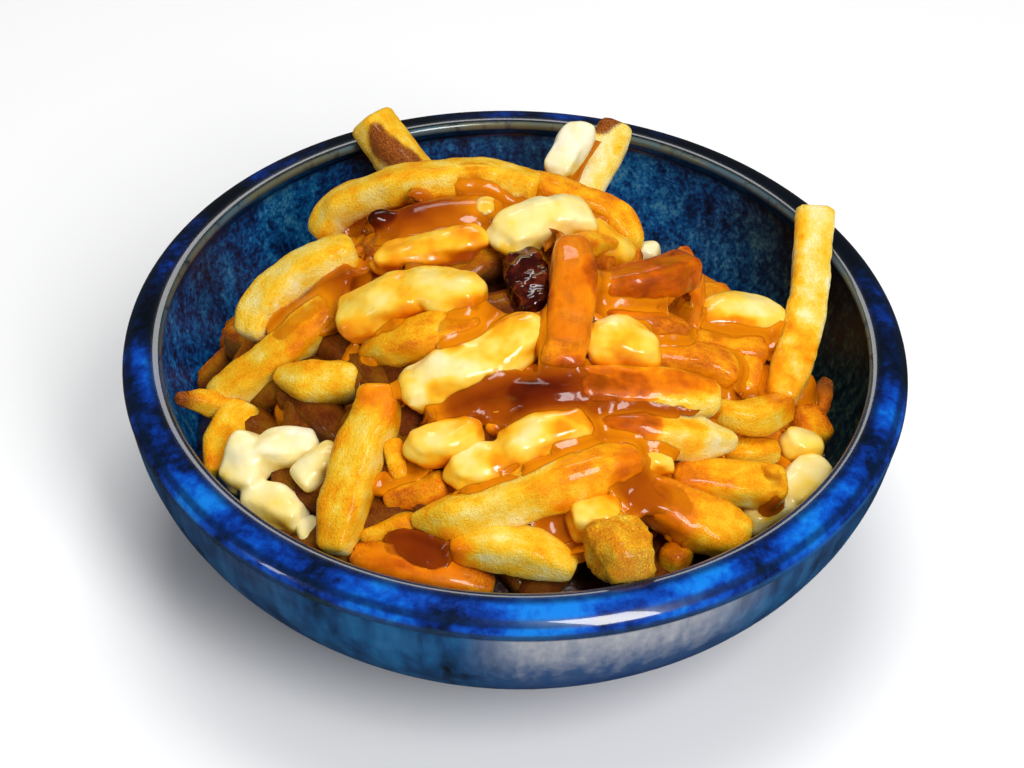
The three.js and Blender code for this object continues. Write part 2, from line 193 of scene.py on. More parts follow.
class Paint:
    """A material and the nodes that colour it."""

    def __init__(self, name: str) -> None:
        """Starts a material with one shader."""
        self.material = bpy.data.materials.new(name)
        self.material.use_nodes = True
        self.tree = self.material.node_tree
        self.shader = self.tree.nodes["Principled BSDF"]

    def node(self, kind: str, settings: dict, inputs: dict, output: int | str = 0) -> Wire:
        """Adds a node.

        Args:
            kind: The node's type.
            settings: Its properties; "stops" are a ramp's places and colours.
            inputs: Values or wires by the sockets' index or name.
            output: The index or name of the socket that is wanted.

        Returns:
            That output.
        """
        made = self.tree.nodes.new(kind)
        for name, value in settings.items():
            if name == "stops":
                self._stops(made.color_ramp, value)
            else:
                setattr(made, name, value)
        for key, value in inputs.items():
            self._feed(self._socket(made.inputs, key), value)
        return Wire(self, self._socket(made.outputs, output))

    def _stops(self, ramp: bpy.types.ColorRamp, stops: Sequence[tuple[float, tuple]]) -> None:
        """Sets a ramp's stops."""
        while len(ramp.elements) < len(stops):
            ramp.elements.new(0.5)
        for element, (place, colour) in zip(ramp.elements, stops):
            element.position = place
            element.color = colour

    def _socket(self, sockets: Iterable, key: int | str) -> bpy.types.NodeSocket:
        """A socket by its index, identifier or name."""
        if isinstance(key, int):
            return sockets[key]
        found = [s for s in sockets if s.identifier == key] or [s for s in sockets if s.name == key]
        return found[0]

    def _feed(self, socket: bpy.types.NodeSocket, value: "Wire | float | tuple") -> None:
        """Links a wire to a socket, or sets its value."""
        if isinstance(value, Wire):
            self.tree.links.new(value.socket, socket)
        else:
            socket.default_value = value

    def place(self) -> Wire:
        """The object's own coordinates."""
        return self.node("ShaderNodeTexCoord", {}, {}, "Object")

    def attribute(self, name: str, output: str = "Fac") -> Wire:
        """A value kept on the mesh."""
        return self.node("ShaderNodeAttribute", {"attribute_name": name}, {}, output)

    def stretched(self, vector: Wire, scale: Place) -> Wire:
        """Coordinates scaled along each axis."""
        return self.node("ShaderNodeMapping", {}, {"Vector": vector, "Scale": scale})

    def noise(self, vector: Wire, scale: float, detail: float = 3.0, rough: float = 0.5) -> Wire:
        """Cloudy noise, about 0 to 1."""
        inputs = {"Vector": vector, "Scale": scale, "Detail": detail, "Roughness": rough}
        return self.node("ShaderNodeTexNoise", {}, inputs, "Fac")

    def ramp(self, value: "Wire | float", stops: Sequence[tuple[float, tuple]]) -> Wire:
        """A colour for a value."""
        return self.node("ShaderNodeValToRGB", {"stops": stops}, {0: value}, "Color")

    def mixed(self, share: "Wire | float", one: "Wire | tuple", other: "Wire | tuple", blend: str = "MIX") -> Wire:
        """One colour over another by a share."""
        settings = {"data_type": "RGBA", "blend_type": blend}
        inputs = {"Factor_Float": share, "A_Color": one, "B_Color": other}
        return self.node("ShaderNodeMix", settings, inputs, "Result_Color")

    def bump(self, height: Wire, distance: float, strength: float, under: Wire | None = None) -> Wire:
        """Relief from a height.

        Args:
            height: The height, 0 to 1.
            distance: What 1 stands for, in metres.
            strength: How much of it shows.
            under: A relief that it lies on.

        Returns:
            The normal.
        """
        inputs: dict = {"Height": height, "Distance": distance, "Strength": strength}
        if under is not None:
            inputs["Normal"] = under
        return self.node("ShaderNodeBump", {}, inputs, "Normal")

    def dressed(self, **sockets: "Wire | float | tuple") -> bpy.types.Material:
        """Feeds the shader's sockets and hands the material over."""
        for name, value in sockets.items():
            self._feed(self._socket(self.shader.inputs, name.replace("_", " ")), value)
        return self.material


@dataclass(frozen=True)
class FriedPotato:
    """Chip surface: pale to amber streaks along the chip, brown crust, a film of gravy, and painted shade low in the
    heap and on faces turned down.
    """

    slot: str = "potato"

    def material(self) -> bpy.types.Material:
        """Makes the finish."""
        paint = Paint("fried_potato")
        grain = paint.attribute("grain", "Vector")
        tone = paint.attribute("tone")
        wet = paint.attribute("wet")
        crust = paint.attribute("crust")
        deep = paint.attribute("deep")
        streak = paint.noise(paint.stretched(grain, (0.14, 0.3, 0.3)), 1.0, 4.0, 0.6)
        cloud = paint.noise(grain, 0.2, 3.0, 0.55)
        fine = paint.noise(grain, 1.8, 4.0, 0.65)
        grit = paint.noise(grain, 2.6, 3.0, 0.6)
        spread = (streak - 0.5) * 0.65 + (cloud - 0.5) * 0.8 + (fine - 0.5) * 0.4 + (grit - 0.5) * 0.35
        drift = paint.noise(grain, 0.22, 3.0, 0.55)
        film = (wet * 1.35 + (drift - 0.5) * 1.3 - 0.22).capped()
        shade = (tone + spread + film * 0.42 - 0.2).capped()
        dry = paint.ramp(
            shade,
            [
                (0.0, screen(254, 237, 176)),
                (0.16, screen(253, 222, 112)),
                (0.36, screen(251, 198, 40)),
                (0.56, screen(248, 166, 8)),
                (0.78, screen(228, 122, 4)),
                (1.0, screen(164, 64, 2)),
            ],
        )
        burnt = (crust * 1.9 + (grit - 0.5) * 2.4 - 0.55).capped()
        crisp = paint.ramp(
            grit, [(0.3, screen(70, 26, 6)), (0.5, screen(140, 70, 20)), (0.7, screen(206, 122, 44))]
        )
        browned = paint.mixed(burnt, dry, crisp)
        sauce = paint.ramp(
            (wet * 0.62 + (drift - 0.5) * 0.7 + (streak - 0.5) * 0.4).capped(),
            [
                (0.0, screen(250, 186, 16)),
                (0.3, screen(246, 156, 4)),
                (0.52, screen(234, 128, 1)),
                (0.74, screen(198, 90, 1)),
                (1.0, screen(120, 42, 1)),
            ],
        )
        coated = paint.mixed(film * film * 0.94, browned, sauce)
        # Painted shade: the deep attribute darkens chips low in the heap, and the front filling chips, towards dark
        # brown.
        colour = paint.mixed(deep, coated, screen(54, 16, 4))
        bare = 1 - film * 0.8
        skin = paint.bump(grit * bare, 0.0005, 0.65)
        relief = paint.bump(fine * bare, 0.0007, 0.65, skin)
        return paint.dressed(
            Base_Color=colour,
            Roughness=0.5 - film * 0.25 + (fine - 0.5) * 0.24 + burnt * 0.1,
            Specular_IOR_Level=0.15,
            Coat_Weight=(film * 0.45 + (fine - 0.5) * 0.5 + 0.2).capped(),
            Coat_Roughness=0.06,
            Subsurface_Weight=0.1,
            Subsurface_Radius=(0.8, 0.4, 0.1),
            Subsurface_Scale=0.0012,
            Normal=relief,
        )


@dataclass(frozen=True)
class SoakedShadedPotato:
    """The mass under the chips, dark with gravy and with painted shade for the depth of the heap."""

    slot: str = "potato"

    def material(self) -> bpy.types.Material:
        """Makes the finish."""
        paint = Paint("soaked_shaded_potato")
        cloud = paint.noise(paint.place(), 240.0, 4.0, 0.6)
        # Partly painted shade: these near-black browns stand for the shade deep between the chips as well as for gravy.
        colour = paint.ramp(
            cloud, [(0.32, screen(22, 6, 3)), (0.52, screen(58, 20, 7)), (0.72, screen(118, 52, 14))]
        )
        return paint.dressed(
            Base_Color=colour,
            Roughness=0.3 + (cloud - 0.5) * 0.2,
            Coat_Weight=0.5,
            Coat_Roughness=0.1,
            Normal=paint.bump(cloud, 0.0012, 0.6),
        )


@dataclass(frozen=True)
class CheeseCurd:
    """Soft curd: cream, warmer where gravy has run over it and, as painted shade, on its sides and underside, wet on
    top.
    """

    slot: str = "curd"

    def material(self) -> bpy.types.Material:
        """Makes the finish."""
        paint = Paint("cheese_curd")
        place = paint.place()
        wet = paint.attribute("wet")
        tone = paint.attribute("tone")
        cloud = paint.noise(place, 130.0, 2.0, 0.5)
        fine = paint.noise(place, 620.0, 4.0, 0.6)
        film = (wet * 1.3 + (cloud - 0.5) * 1.6 - 0.3).capped()
        shade = tone * 0.55 + (cloud - 0.5) * 0.5 + (fine - 0.5) * 0.06 + film * 0.42 + 0.05
        colour = paint.ramp(
            shade.capped(),
            [
                (0.0, screen(244, 236, 206)),
                (0.17, screen(244, 226, 156)),
                (0.36, screen(246, 208, 84)),
                (0.54, screen(246, 184, 34)),
                (0.74, screen(236, 142, 8)),
                (1.0, screen(204, 90, 3)),
            ],
        )
        skin = paint.bump(paint.noise(place, 260.0, 3.0), 0.0007, 0.4)
        return paint.dressed(
            Base_Color=colour,
            Roughness=0.3 - film * 0.12 + (fine - 0.5) * 0.1,
            Specular_IOR_Level=0.4,
            Coat_Weight=0.5 + film * 0.3,
            Coat_Roughness=0.05,
            Subsurface_Weight=0.18,
            Subsurface_Radius=(0.9, 0.7, 0.35),
            Subsurface_Scale=0.0014,
            Normal=paint.bump(fine, 0.0001, 0.25, skin),
        )


@dataclass(frozen=True)
class Gravy:
    """Brown gravy: amber where thin, dark where it stands deep, glossy all over."""

    slot: str = "gravy"

    def material(self) -> bpy.types.Material:
        """Makes the finish."""
        paint = Paint("brown_gravy")
        place = paint.place()
        depth = paint.attribute("depth")
        over = paint.attribute("over_curd")
        dark = paint.attribute("dark")
        cloud = paint.noise(place, 120.0, 3.0, 0.5)
        deep = (depth * 0.9 + dark * 0.42 + (cloud - 0.5) * 0.2).capped()
        on_chip = paint.ramp(
            deep,
            [
                (0.0, screen(216, 126, 3)),
                (0.12, screen(188, 100, 2)),
                (0.32, screen(160, 74, 2)),
                (0.55, screen(130, 50, 2)),
                (0.78, screen(98, 28, 2)),
                (1.0, screen(54, 12, 2)),
            ],
        )
        on_curd = paint.ramp(
            deep,
            [
                (0.0, screen(240, 164, 14)),
                (0.12, screen(220, 126, 4)),
                (0.32, screen(180, 84, 2)),
                (0.55, screen(140, 54, 2)),
                (0.78, screen(98, 28, 2)),
                (1.0, screen(54, 12, 2)),
            ],
        )
        return paint.dressed(
            Base_Color=paint.mixed(over, on_chip, on_curd),
            Alpha=(depth + (cloud - 0.5) * 0.015).between(0.0, 0.022),
            Roughness=0.17 + (cloud - 0.5) * 0.08,
            Specular_IOR_Level=0.08,
            Coat_Weight=0.5,
            Coat_Roughness=0.03,
            Normal=paint.bump(paint.noise(place, 230.0, 2.0), 0.0014, 0.35),
        )


@dataclass(frozen=True)
class ThickGravy:
    """The dark clot: near-black maroon jelly."""

    slot: str = "gravy"

    def material(self) -> bpy.types.Material:
        """Makes the finish."""
        paint = Paint("thick_gravy")
        place = paint.place()
        cloud = paint.noise(place, 260.0, 3.0, 0.55)
        colour = paint.ramp(
            cloud, [(0.3, screen(24, 3, 2)), (0.5, screen(56, 10, 4)), (0.72, screen(118, 40, 10))]
        )
        return paint.dressed(
            Base_Color=colour,
            Roughness=0.14 + (cloud - 0.5) * 0.08,
            Coat_Weight=1.0,
            Coat_Roughness=0.03,
            Normal=paint.bump(paint.noise(place, 330.0, 2.0, 0.5), 0.0006, 0.4),
        )


@dataclass(frozen=True)
class ReactiveGlaze:
    """Blue glaze that breaks pale on the rim's inner edge and runs dark down the walls, with painted light and shade: a
    brighter rim at the front, a painted sheen on the outer wall and a darker inner wall on the right.
    """

    slot: str = "stoneware"

    def material(self) -> bpy.types.Material:
        """Makes the finish."""
        paint = Paint("reactive_glaze")
        place = paint.place()
        level = paint.node("ShaderNodeSeparateXYZ", {}, {0: place}, "Z")
        across = paint.node("ShaderNodeSeparateXYZ", {}, {0: place}, "X")
        ahead = paint.node("ShaderNodeSeparateXYZ", {}, {0: place}, "Y")
        flat = paint.node("ShaderNodeVectorMath", {"operation": "MULTIPLY"}, {0: place, 1: (1.0, 1.0, 0.0)})
        reach = paint.node("ShaderNodeVectorMath", {"operation": "LENGTH"}, {0: flat}, "Value")
        front = (ahead * -8.0 + 0.25).capped()
        back = (ahead * 12.0 - 0.2).capped()
        right = (across * 13.0 - 0.3).capped()
        left = (across * -13.0 - 0.3).capped()
        outside = paint.attribute("outside")
        mottle = paint.noise(place, 420.0, 6.0, 0.68)
        patch = paint.noise(place, 55.0, 3.0, 0.55)
        broad = paint.noise(place, 26.0, 2.0, 0.5)
        runs = paint.noise(paint.stretched(place, (260.0, 260.0, 70.0)), 1.0, 4.0, 0.6)
        # Painted light: the rim is painted brighter at the front and right, where the front light falls, and darker at
        # the back.
        rim = paint.ramp(
            ((mottle - 0.5) * 0.7 + (patch - 0.5) * 1.5 + (broad - 0.5) * 0.8 + front * 0.38 + 0.27 + right * 0.08 - back * 0.08).capped(),
            [
                (0.22, screen(1, 9, 20)),
                (0.42, screen(2, 24, 64)),
                (0.56, screen(1, 46, 132)),
                (0.72, screen(2, 76, 180)),
                (0.92, screen(14, 120, 214)),
            ],
        )
        speck = paint.noise(place, 950.0, 3.0, 0.65)
        clouded = (mottle - 0.5) * 1.1 + (speck - 0.5) * 1.1 + (runs - 0.5) * 0.8 + (patch - 0.5) * 0.9
        inner_blue = paint.ramp(
            (clouded + 0.5).capped(),
            [
                (0.1, screen(1, 10, 22)),
                (0.32, screen(1, 36, 80)),
                (0.5, screen(2, 68, 134)),
                (0.68, screen(8, 106, 168)),
                (0.95, screen(76, 150, 184)),
            ],
        )
        olive_and_shade = paint.ramp(
            ((mottle - 0.5) * 1.2 + (speck - 0.5) * 0.9 + (runs - 0.5) * 0.9 + 0.5).capped(),
            [(0.2, screen(2, 14, 18)), (0.5, screen(6, 40, 50)), (0.9, screen(84, 102, 76))],
        )
        # Partly painted shade: the inner wall's right side, turned away from the front light, is painted dark olive;
        # the olive mottling is the glaze's own.
        inner = paint.mixed((right * 1.7 + (broad - 0.5) * 2.0).capped(), inner_blue, olive_and_shade)
        dusk = paint.ramp(
            ((runs - 0.5) * 0.9 + (patch - 0.5) * 0.8 + 0.5).capped(),
            [(0.2, screen(2, 26, 44)), (0.45, screen(1, 62, 110)), (0.65, screen(4, 86, 136)), (0.9, screen(34, 106, 156))],
        )
        # Painted reflection: a grey sheen on the outer wall at the front-right, near the rim, stands for the front
        # light's broad reflection; lower down it turns blue.
        sheen_colours = paint.ramp(
            ((runs - 0.5) * 0.7 + (mottle - 0.5) * 0.4 + (level - 0.044) * 26.0 + 0.5).capped(),
            [(0.1, screen(8, 60, 120)), (0.4, screen(48, 80, 124)), (0.7, screen(132, 138, 152)), (1.0, screen(176, 176, 178))],
        )
        sheen_band = (across.between(-0.012, 0.012) * (1 - across.between(0.034, 0.062)) * front * 1.3).capped()
        sheen = paint.mixed((sheen_band + (broad - 0.5) * 0.3).capped(), dusk, sheen_colours)
        under = 1 - level.between(0.0560, 0.0572)
        walls = paint.mixed(outside, inner, sheen)
        body = paint.mixed(under, rim, walls)
        shade = level.between(0.0530, 0.0570) * (1 - reach.between(0.0866, 0.0876))
        shaded = paint.mixed(shade * 0.85, body, screen(2, 9, 16))
        trench = reach.between(0.0856, 0.0868) * (1 - reach.between(0.0878, 0.0896)) * level.between(0.0590, 0.0605)
        rimmed = paint.mixed(trench * 0.75, shaded, screen(2, 14, 24))
        ridge = (1 - reach.between(0.0855, 0.0864)) * level.between(0.0592, 0.0602)
        pale = paint.mixed(patch.between(0.4, 0.62), screen(84, 112, 124), screen(112, 114, 88))
        edged = paint.mixed((ridge * (0.85 - front * 0.7 - right * 0.25 - left * 0.35)).capped() * runs.between(0.25, 0.5), rimmed, pale)
        groove = reach.between(0.0918, 0.0930) * level.between(0.0566, 0.0574) * (1 - reach.between(0.0936, 0.0942))
        grooved = paint.mixed(groove * 0.7, edged, screen(3, 24, 42))
        outer_ridge = reach.between(0.0936, 0.0943) * level.between(0.0560, 0.0568) * (1 - level.between(0.0578, 0.0586))
        # Painted light: the rim's outer edge line is olive, painted bright blue on the right-front where the front
        # light falls.
        edge_painted_lit = paint.mixed((across * 22.0 - 0.9).capped() * front, screen(30, 52, 56), screen(6, 112, 190))
        done = paint.mixed(outer_ridge * 0.75, grooved, edge_painted_lit)
        pits = paint.bump(mottle, 0.00006, 0.2)
        return paint.dressed(
            Base_Color=done,
            Roughness=0.24 + (mottle - 0.5) * 0.1 + under * 0.16,
            Specular_IOR_Level=0.35,
            Coat_Weight=0.9 - under * 0.9,
            Coat_Roughness=0.03,
            Normal=paint.bump(paint.noise(place, 48.0, 2.0), 0.0008, 0.25, pits),
        )


# Shaping


def object_from(name: str, mesh: bpy.types.Mesh) -> bpy.types.Object:
    """A new object in the scene that shows a mesh."""
    made = bpy.data.objects.new(name, mesh)
    bpy.context.scene.collection.objects.link(made)
    return made


def mesh_from(name: str, form: bmesh.types.BMesh) -> bpy.types.Mesh:
    """A new smooth mesh from a bmesh, which is freed."""
    mesh = bpy.data.meshes.new(name)
    form.to_mesh(mesh)
    form.free()
    mesh.shade_smooth()
    return mesh


def points_of(mesh: bpy.types.Mesh) -> np.ndarray:
    """A mesh's points, one row each."""
    flat = np.empty(len(mesh.vertices) * 3, np.float32)
    mesh.vertices.foreach_get("co", flat)
    return flat.reshape(-1, 3).astype(float)


def normals_of(mesh: bpy.types.Mesh) -> np.ndarray:
    """The directions that a mesh's points face."""
    flat = np.empty(len(mesh.vertices) * 3, np.float32)
    mesh.vertices.foreach_get("normal", flat)
    return flat.reshape(-1, 3).astype(float)


def set_points(mesh: bpy.types.Mesh, points: np.ndarray) -> None:
    """Moves a mesh's points."""
    mesh.vertices.foreach_set("co", points.astype(np.float32).ravel())
    mesh.update()


def keep(mesh: bpy.types.Mesh, name: str, values: np.ndarray) -> None:
    """Keeps one number or one vector for each point on the mesh."""
    kind, key = ("FLOAT", "value") if values.ndim == 1 else ("FLOAT_VECTOR", "vector")
    layer = mesh.attributes.new(name, kind, "POINT")
    layer.data.foreach_set(key, values.astype(np.float32).ravel())


def joined(name: str, meshes: Sequence[bpy.types.Mesh]) -> bpy.types.Mesh:
    """One mesh out of several, with their points in the same order."""
    whole = bmesh.new()
    for mesh in meshes:
        whole.from_mesh(mesh)
        bpy.data.meshes.remove(mesh)
    return mesh_from(name, whole)


def settled(piece: bpy.types.Object) -> None:
    """Makes a piece's modifiers part of its mesh."""
    done = piece.evaluated_get(bpy.context.evaluated_depsgraph_get())
    mesh = bpy.data.meshes.new_from_object(done)
    old = piece.data
    piece.modifiers.clear()
    piece.data = mesh
    bpy.data.meshes.remove(old)


def rounded(piece: bpy.types.Object, cell: float, smoothing: int) -> None:
    """Merges a piece's parts into one skin of even cells.

    Args:
        piece: The piece.
        cell: Size of a cell, in millimetres.
        smoothing: How often the skin is relaxed.
    """
    remesh = piece.modifiers.new("skin", "REMESH")
    remesh.mode = "VOXEL"
    remesh.voxel_size = cell * MM
    if smoothing:
        relax = piece.modifiers.new("relax", "SMOOTH")
        relax.factor = 0.5
        relax.iterations = smoothing
    settled(piece)
    piece.data.shade_smooth()


def ripple(points: np.ndarray, size: float, seed: float) -> np.ndarray:
    """Smooth noise at some points.

    Args:
        points: The points, in millimetres.
        size: About the width of a ripple, in millimetres.
        seed: Which noise.

    Returns:
        A number from about -1 to 1 for each point.
    """
    shift = Vector((seed * 7.3, seed * 3.1, seed * 5.7))
    return np.array([noise.noise(Vector(p) / size + shift) for p in points])


def smooth_step(values: np.ndarray, low: float, high: float) -> np.ndarray:
    """0 at low, 1 at high, smooth between."""
    share = np.clip((values - low) / (high - low), 0, 1)
    return share * share * (3 - 2 * share)


# The bowl


@dataclass
class Bowl:
    """The stoneware bowl: a ring foot, a curved wall and a broad sloping rim."""

    finish: ReactiveGlaze = field(default_factory=ReactiveGlaze)
    rim_radius: float = 95.0
    rim_edge_height: float = 57.3
    rim_top_height: float = 62.0
    mouth_radius: float = 85.0
    lip_undercut: float = 2.0
    lip_height: float = 59.2
    wall_top_height: float = 57.0
    rim_chamfer: float = 1.2
    rim_crown: tuple = ((0.08, 0.47), (0.3, 0.81), (0.65, 1.0), (0.93, 0.98))
    outer_fullness: float = 1.5
    inner_fullness: float = 1.1
    foot_radius: float = 46.0
    foot_width: float = 6.0
    foot_recess: float = 2.5
    foot_chamfer: float = 1.0
    floor_height: float = 9.0
    floor_radius: float = 38.0
    heap_top: float = 90.6
    wall_steps: int = 14
    sides: int = 224

    def outer_wall(self) -> list[tuple[float, float]]:
        """Radius and height up the outside."""
        reach = self.rim_radius - self.rim_chamfer / 2 - self.foot_radius
        rise = self.rim_edge_height - self.rim_chamfer - self.foot_recess
        turns = [(i + 0.5) / self.wall_steps * math.pi / 2 for i in range(self.wall_steps)]
        return [
            (self.foot_radius + reach * math.sin(t) ** self.outer_fullness, self.foot_recess + rise * (1 - math.cos(t)))
            for t in turns
        ]

    def inner_wall(self) -> list[tuple[float, float]]:
        """Radius and height down the inside."""
        reach = self.mouth_radius + self.lip_undercut - self.floor_radius
        drop = self.wall_top_height - self.floor_height
        turns = [(i + 0.5) / self.wall_steps * math.pi / 2 for i in range(self.wall_steps)]
        return [
            (self.floor_radius + reach * math.cos(t) ** self.inner_fullness, self.floor_height + drop * (1 - math.sin(t)))
            for t in turns
        ]

    def profile(self) -> list[tuple[float, float]]:
        """The half section, from the underside's centre round the rim to the floor's centre."""
        width = self.rim_radius - self.mouth_radius
        rise = self.rim_top_height - self.rim_edge_height
        return [
            (0, self.foot_recess),
            (self.foot_radius - self.foot_width - self.foot_chamfer, self.foot_recess),
            (self.foot_radius - self.foot_width, 0),
            (self.foot_radius - self.foot_chamfer, 0),
            *self.outer_wall(),
            (self.rim_radius - self.rim_chamfer / 2, self.rim_edge_height - self.rim_chamfer),
            (self.rim_radius, self.rim_edge_height),
            *[(self.rim_radius - a * width, self.rim_edge_height + b * rise) for a, b in self.rim_crown],
            (self.mouth_radius, self.rim_top_height - self.rim_chamfer),
            (self.mouth_radius + self.lip_undercut / 3, self.lip_height),
            (self.mouth_radius + self.lip_undercut, self.wall_top_height),
            *self.inner_wall(),
            (self.floor_radius, self.floor_height),
            (0, self.floor_height),
        ]

    def softened(self) -> list[tuple[float, float]]:
        """The half section with its corners cut twice."""
        line = self.profile()
        for _ in range(2):
            cut = [line[0]]
            for (r0, z0), (r1, z1) in zip(line, line[1:]):
                share = min(0.25, 0.9 / max(math.hypot(r1 - r0, z1 - z0), 1e-6))
                cut.append((r0 + (r1 - r0) * share, z0 + (z1 - z0) * share))
                cut.append((r1 + (r0 - r1) * share, z1 + (z0 - z1) * share))
            line = cut + [line[-1]]
        return line

    def room(self, height: np.ndarray) -> np.ndarray:
        """How far out the food may reach at each height, in millimetres."""
        steps = [(self.floor_height, self.floor_radius), *[(z, r) for r, z in reversed(self.inner_wall())]]
        steps += [
            (self.wall_top_height, self.mouth_radius + self.lip_undercut),
            (self.lip_height, self.mouth_radius + self.lip_undercut / 3),
            (self.rim_top_height - self.rim_chamfer, self.mouth_radius),
            (self.rim_top_height, self.mouth_radius + 0.7),
            (self.rim_top_height + 1.5, self.rim_radius),
        ]
        levels, radii = zip(*steps)
        return np.interp(height, levels, radii) - 0.4

    def hold(self, points: np.ndarray) -> np.ndarray:
        """The points, drawn back where they would cross the bowl's wall or floor or the heap's top."""
        kept = points.copy()
        kept[:, 2] = np.clip(kept[:, 2], self.floor_height + 0.4, self.heap_top)
        reach = np.hypot(kept[:, 0], kept[:, 1])
        share = np.minimum(1, self.room(kept[:, 2]) / np.maximum(reach, 1e-6))
        kept[:, :2] *= share[:, None]
        return kept

    def build(self) -> bpy.types.Object:
        """Turns the half section round the axis."""
        form = bmesh.new()
        ring = [form.verts.new((r * MM, 0, z * MM)) for r, z in self.softened()]
        edges = [form.edges.new(pair) for pair in zip(ring, ring[1:])]
        bmesh.ops.spin(
            form,
            geom=[*ring, *edges],
            cent=(0, 0, 0),
            axis=(0, 0, 1),
            angle=2 * math.pi,
            steps=self.sides,
            use_merge=True,
        )
        bmesh.ops.remove_doubles(form, verts=form.verts, dist=2e-6)
        bmesh.ops.recalc_face_normals(form, faces=form.faces)
        piece = object_from("glazed_bowl", mesh_from("glazed_bowl", form))
        facing, points = normals_of(piece.data), points_of(piece.data)
        outward = np.sum(facing[:, :2] * points[:, :2], axis=1) / np.maximum(np.hypot(*points[:, :2].T), 1e-6)
        keep(piece.data, "outside", smooth_step(outward - 0.5 * facing[:, 2], -0.1, 0.1))
        piece.data.materials.append(self.finish.material())
        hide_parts("bowl")
        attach(piece, "root")
        return piece


# Where the gravy was poured


@dataclass(frozen=True)
class Pour:
    """Gravy along a stretch of the heap, seen from one pixel to another."""

    start: Place
    end: Place
    reach: float
    strength: float = 1.0

    def at(self, points: np.ndarray, spread: float = 1.0) -> np.ndarray:
        """How much of it lies at some points, 0 to its strength.

        Args:
            points: The points, in millimetres.
            spread: How far beyond its reach it thins out.

        Returns:
            The amount at each point.
        """
        a = np.array(VIEW.seen(self.start))
        line = np.array(VIEW.seen(self.end)) - a
        share = np.clip((points - a) @ line / max(line @ line, 1e-6), 0, 1)
        away = points - a - share[:, None] * line
        away[:, 2] *= 0.6
        distance = np.linalg.norm(away, axis=1)
        return self.strength * (1 - smooth_step(distance, 0.45 * self.reach, self.reach * spread))


POURS = (
    Pour((470, 178, 82), (556, 196, 82), 7, 1.1),
    Pour((392, 222, 79), (505, 205, 82), 9, 1.3),
    Pour((372, 216, 79), (388, 214, 80), 5, 1.4),
    Pour((285, 326, 67), (352, 278, 76), 6.5, 1.2),
    Pour((572, 242, 88), (560, 372, 80), 8, 1.0),
    Pour((356, 350, 70), (482, 326, 82), 7, 0.5),
    Pour((452, 336, 80), (520, 308, 82), 6.5, 1.25),
    Pour((500, 262, 82), (532, 304, 81), 6, 1.3),
    Pour((440, 404, 72), (500, 390, 77), 5.5, 1.0),
    Pour((500, 390, 77), (600, 390, 78), 7.5, 1.4),
    Pour((600, 386, 78), (690, 396, 73), 5, 0.95),
    Pour((600, 288, 83), (690, 272, 80), 7.5, 1.15),
    Pour((600, 322, 77), (685, 330, 73), 6, 0.9),
    Pour((655, 358, 72), (735, 378, 64), 6, 0.95),
    Pour((690, 320, 66), (715, 330, 64), 5, 0.9),
    Pour((738, 340, 62), (775, 334, 62), 5, 0.9),
    Pour((704, 328, 68), (778, 322, 67), 4.5, 1.1),
    Pour((540, 478, 68), (635, 458, 69), 6, 0.9),
    Pour((560, 440, 72), (600, 452, 70), 5, 0.8),
    Pour((500, 468, 68), (560, 446, 71), 4, 0.6),
    Pour((618, 486, 63), (672, 506, 63), 8, 1.15),
    Pour((398, 546, 54), (434, 558, 54), 5.5, 1.2),
    Pour((766, 470, 58), (776, 502, 55), 5.5, 1.2),
    Pour((372, 384, 74), (402, 392, 71), 6, 0.8),
    Pour((446, 412, 68), (522, 408, 70), 6, 0.8),
    Pour((300, 420, 50), (320, 404, 52), 9, 1.0),
    Pour((386, 496, 56), (450, 484, 60), 5, 0.9),
    Pour((600, 424, 70), (640, 430, 69), 5, 0.7),
    Pour((340, 230, 73), (380, 208, 76), 4, 0.5),
    Pour((735, 350, 62), (745, 396, 58), 5, 0.8),
    Pour((492, 352, 79), (532, 336, 79), 5.5, 0.55),
    Pour((520, 190, 81), (600, 212, 77), 4.5, 0.8),
    Pour((572, 244, 88), (566, 300, 86), 4, 0.7),
    Pour((588, 382, 79), (668, 398, 75), 6, 0.95),
    Pour((590, 414, 73), (668, 434, 70), 6.5, 0.85),
    Pour((560, 470, 70), (626, 452, 71), 6, 0.75),
    Pour((456, 500, 63), (520, 486, 67), 4, 0.5),
    Pour((646, 490, 64), (692, 520, 61), 7, 0.8),
    Pour((560, 250, 90), (560, 370, 82), 7, 0.5),
    Pour((318, 320, 70), (352, 300, 74), 5, 0.8),
    Pour((720, 350, 66), (740, 372, 64), 5, 0.8),
)


STAINS = (
    Pour((372, 217, 80), (386, 216, 80), 3.4, 1.1),
    Pour((504, 252, 82), (532, 306, 80), 7.5, 1.5),
    Pour((466, 398, 75), (700, 384, 76), 7, 0.8),
    Pour((524, 390, 78), (576, 388, 78), 6, 1.15),
    Pour((392, 540, 55), (430, 560, 54), 7, 1.3),
    Pour((765, 472, 58), (776, 502, 55), 5, 0.6),
    Pour((622, 484, 64), (650, 500, 63), 6, 0.7),
    Pour((320, 300, 68), (345, 284, 72), 4, 0.6),
)


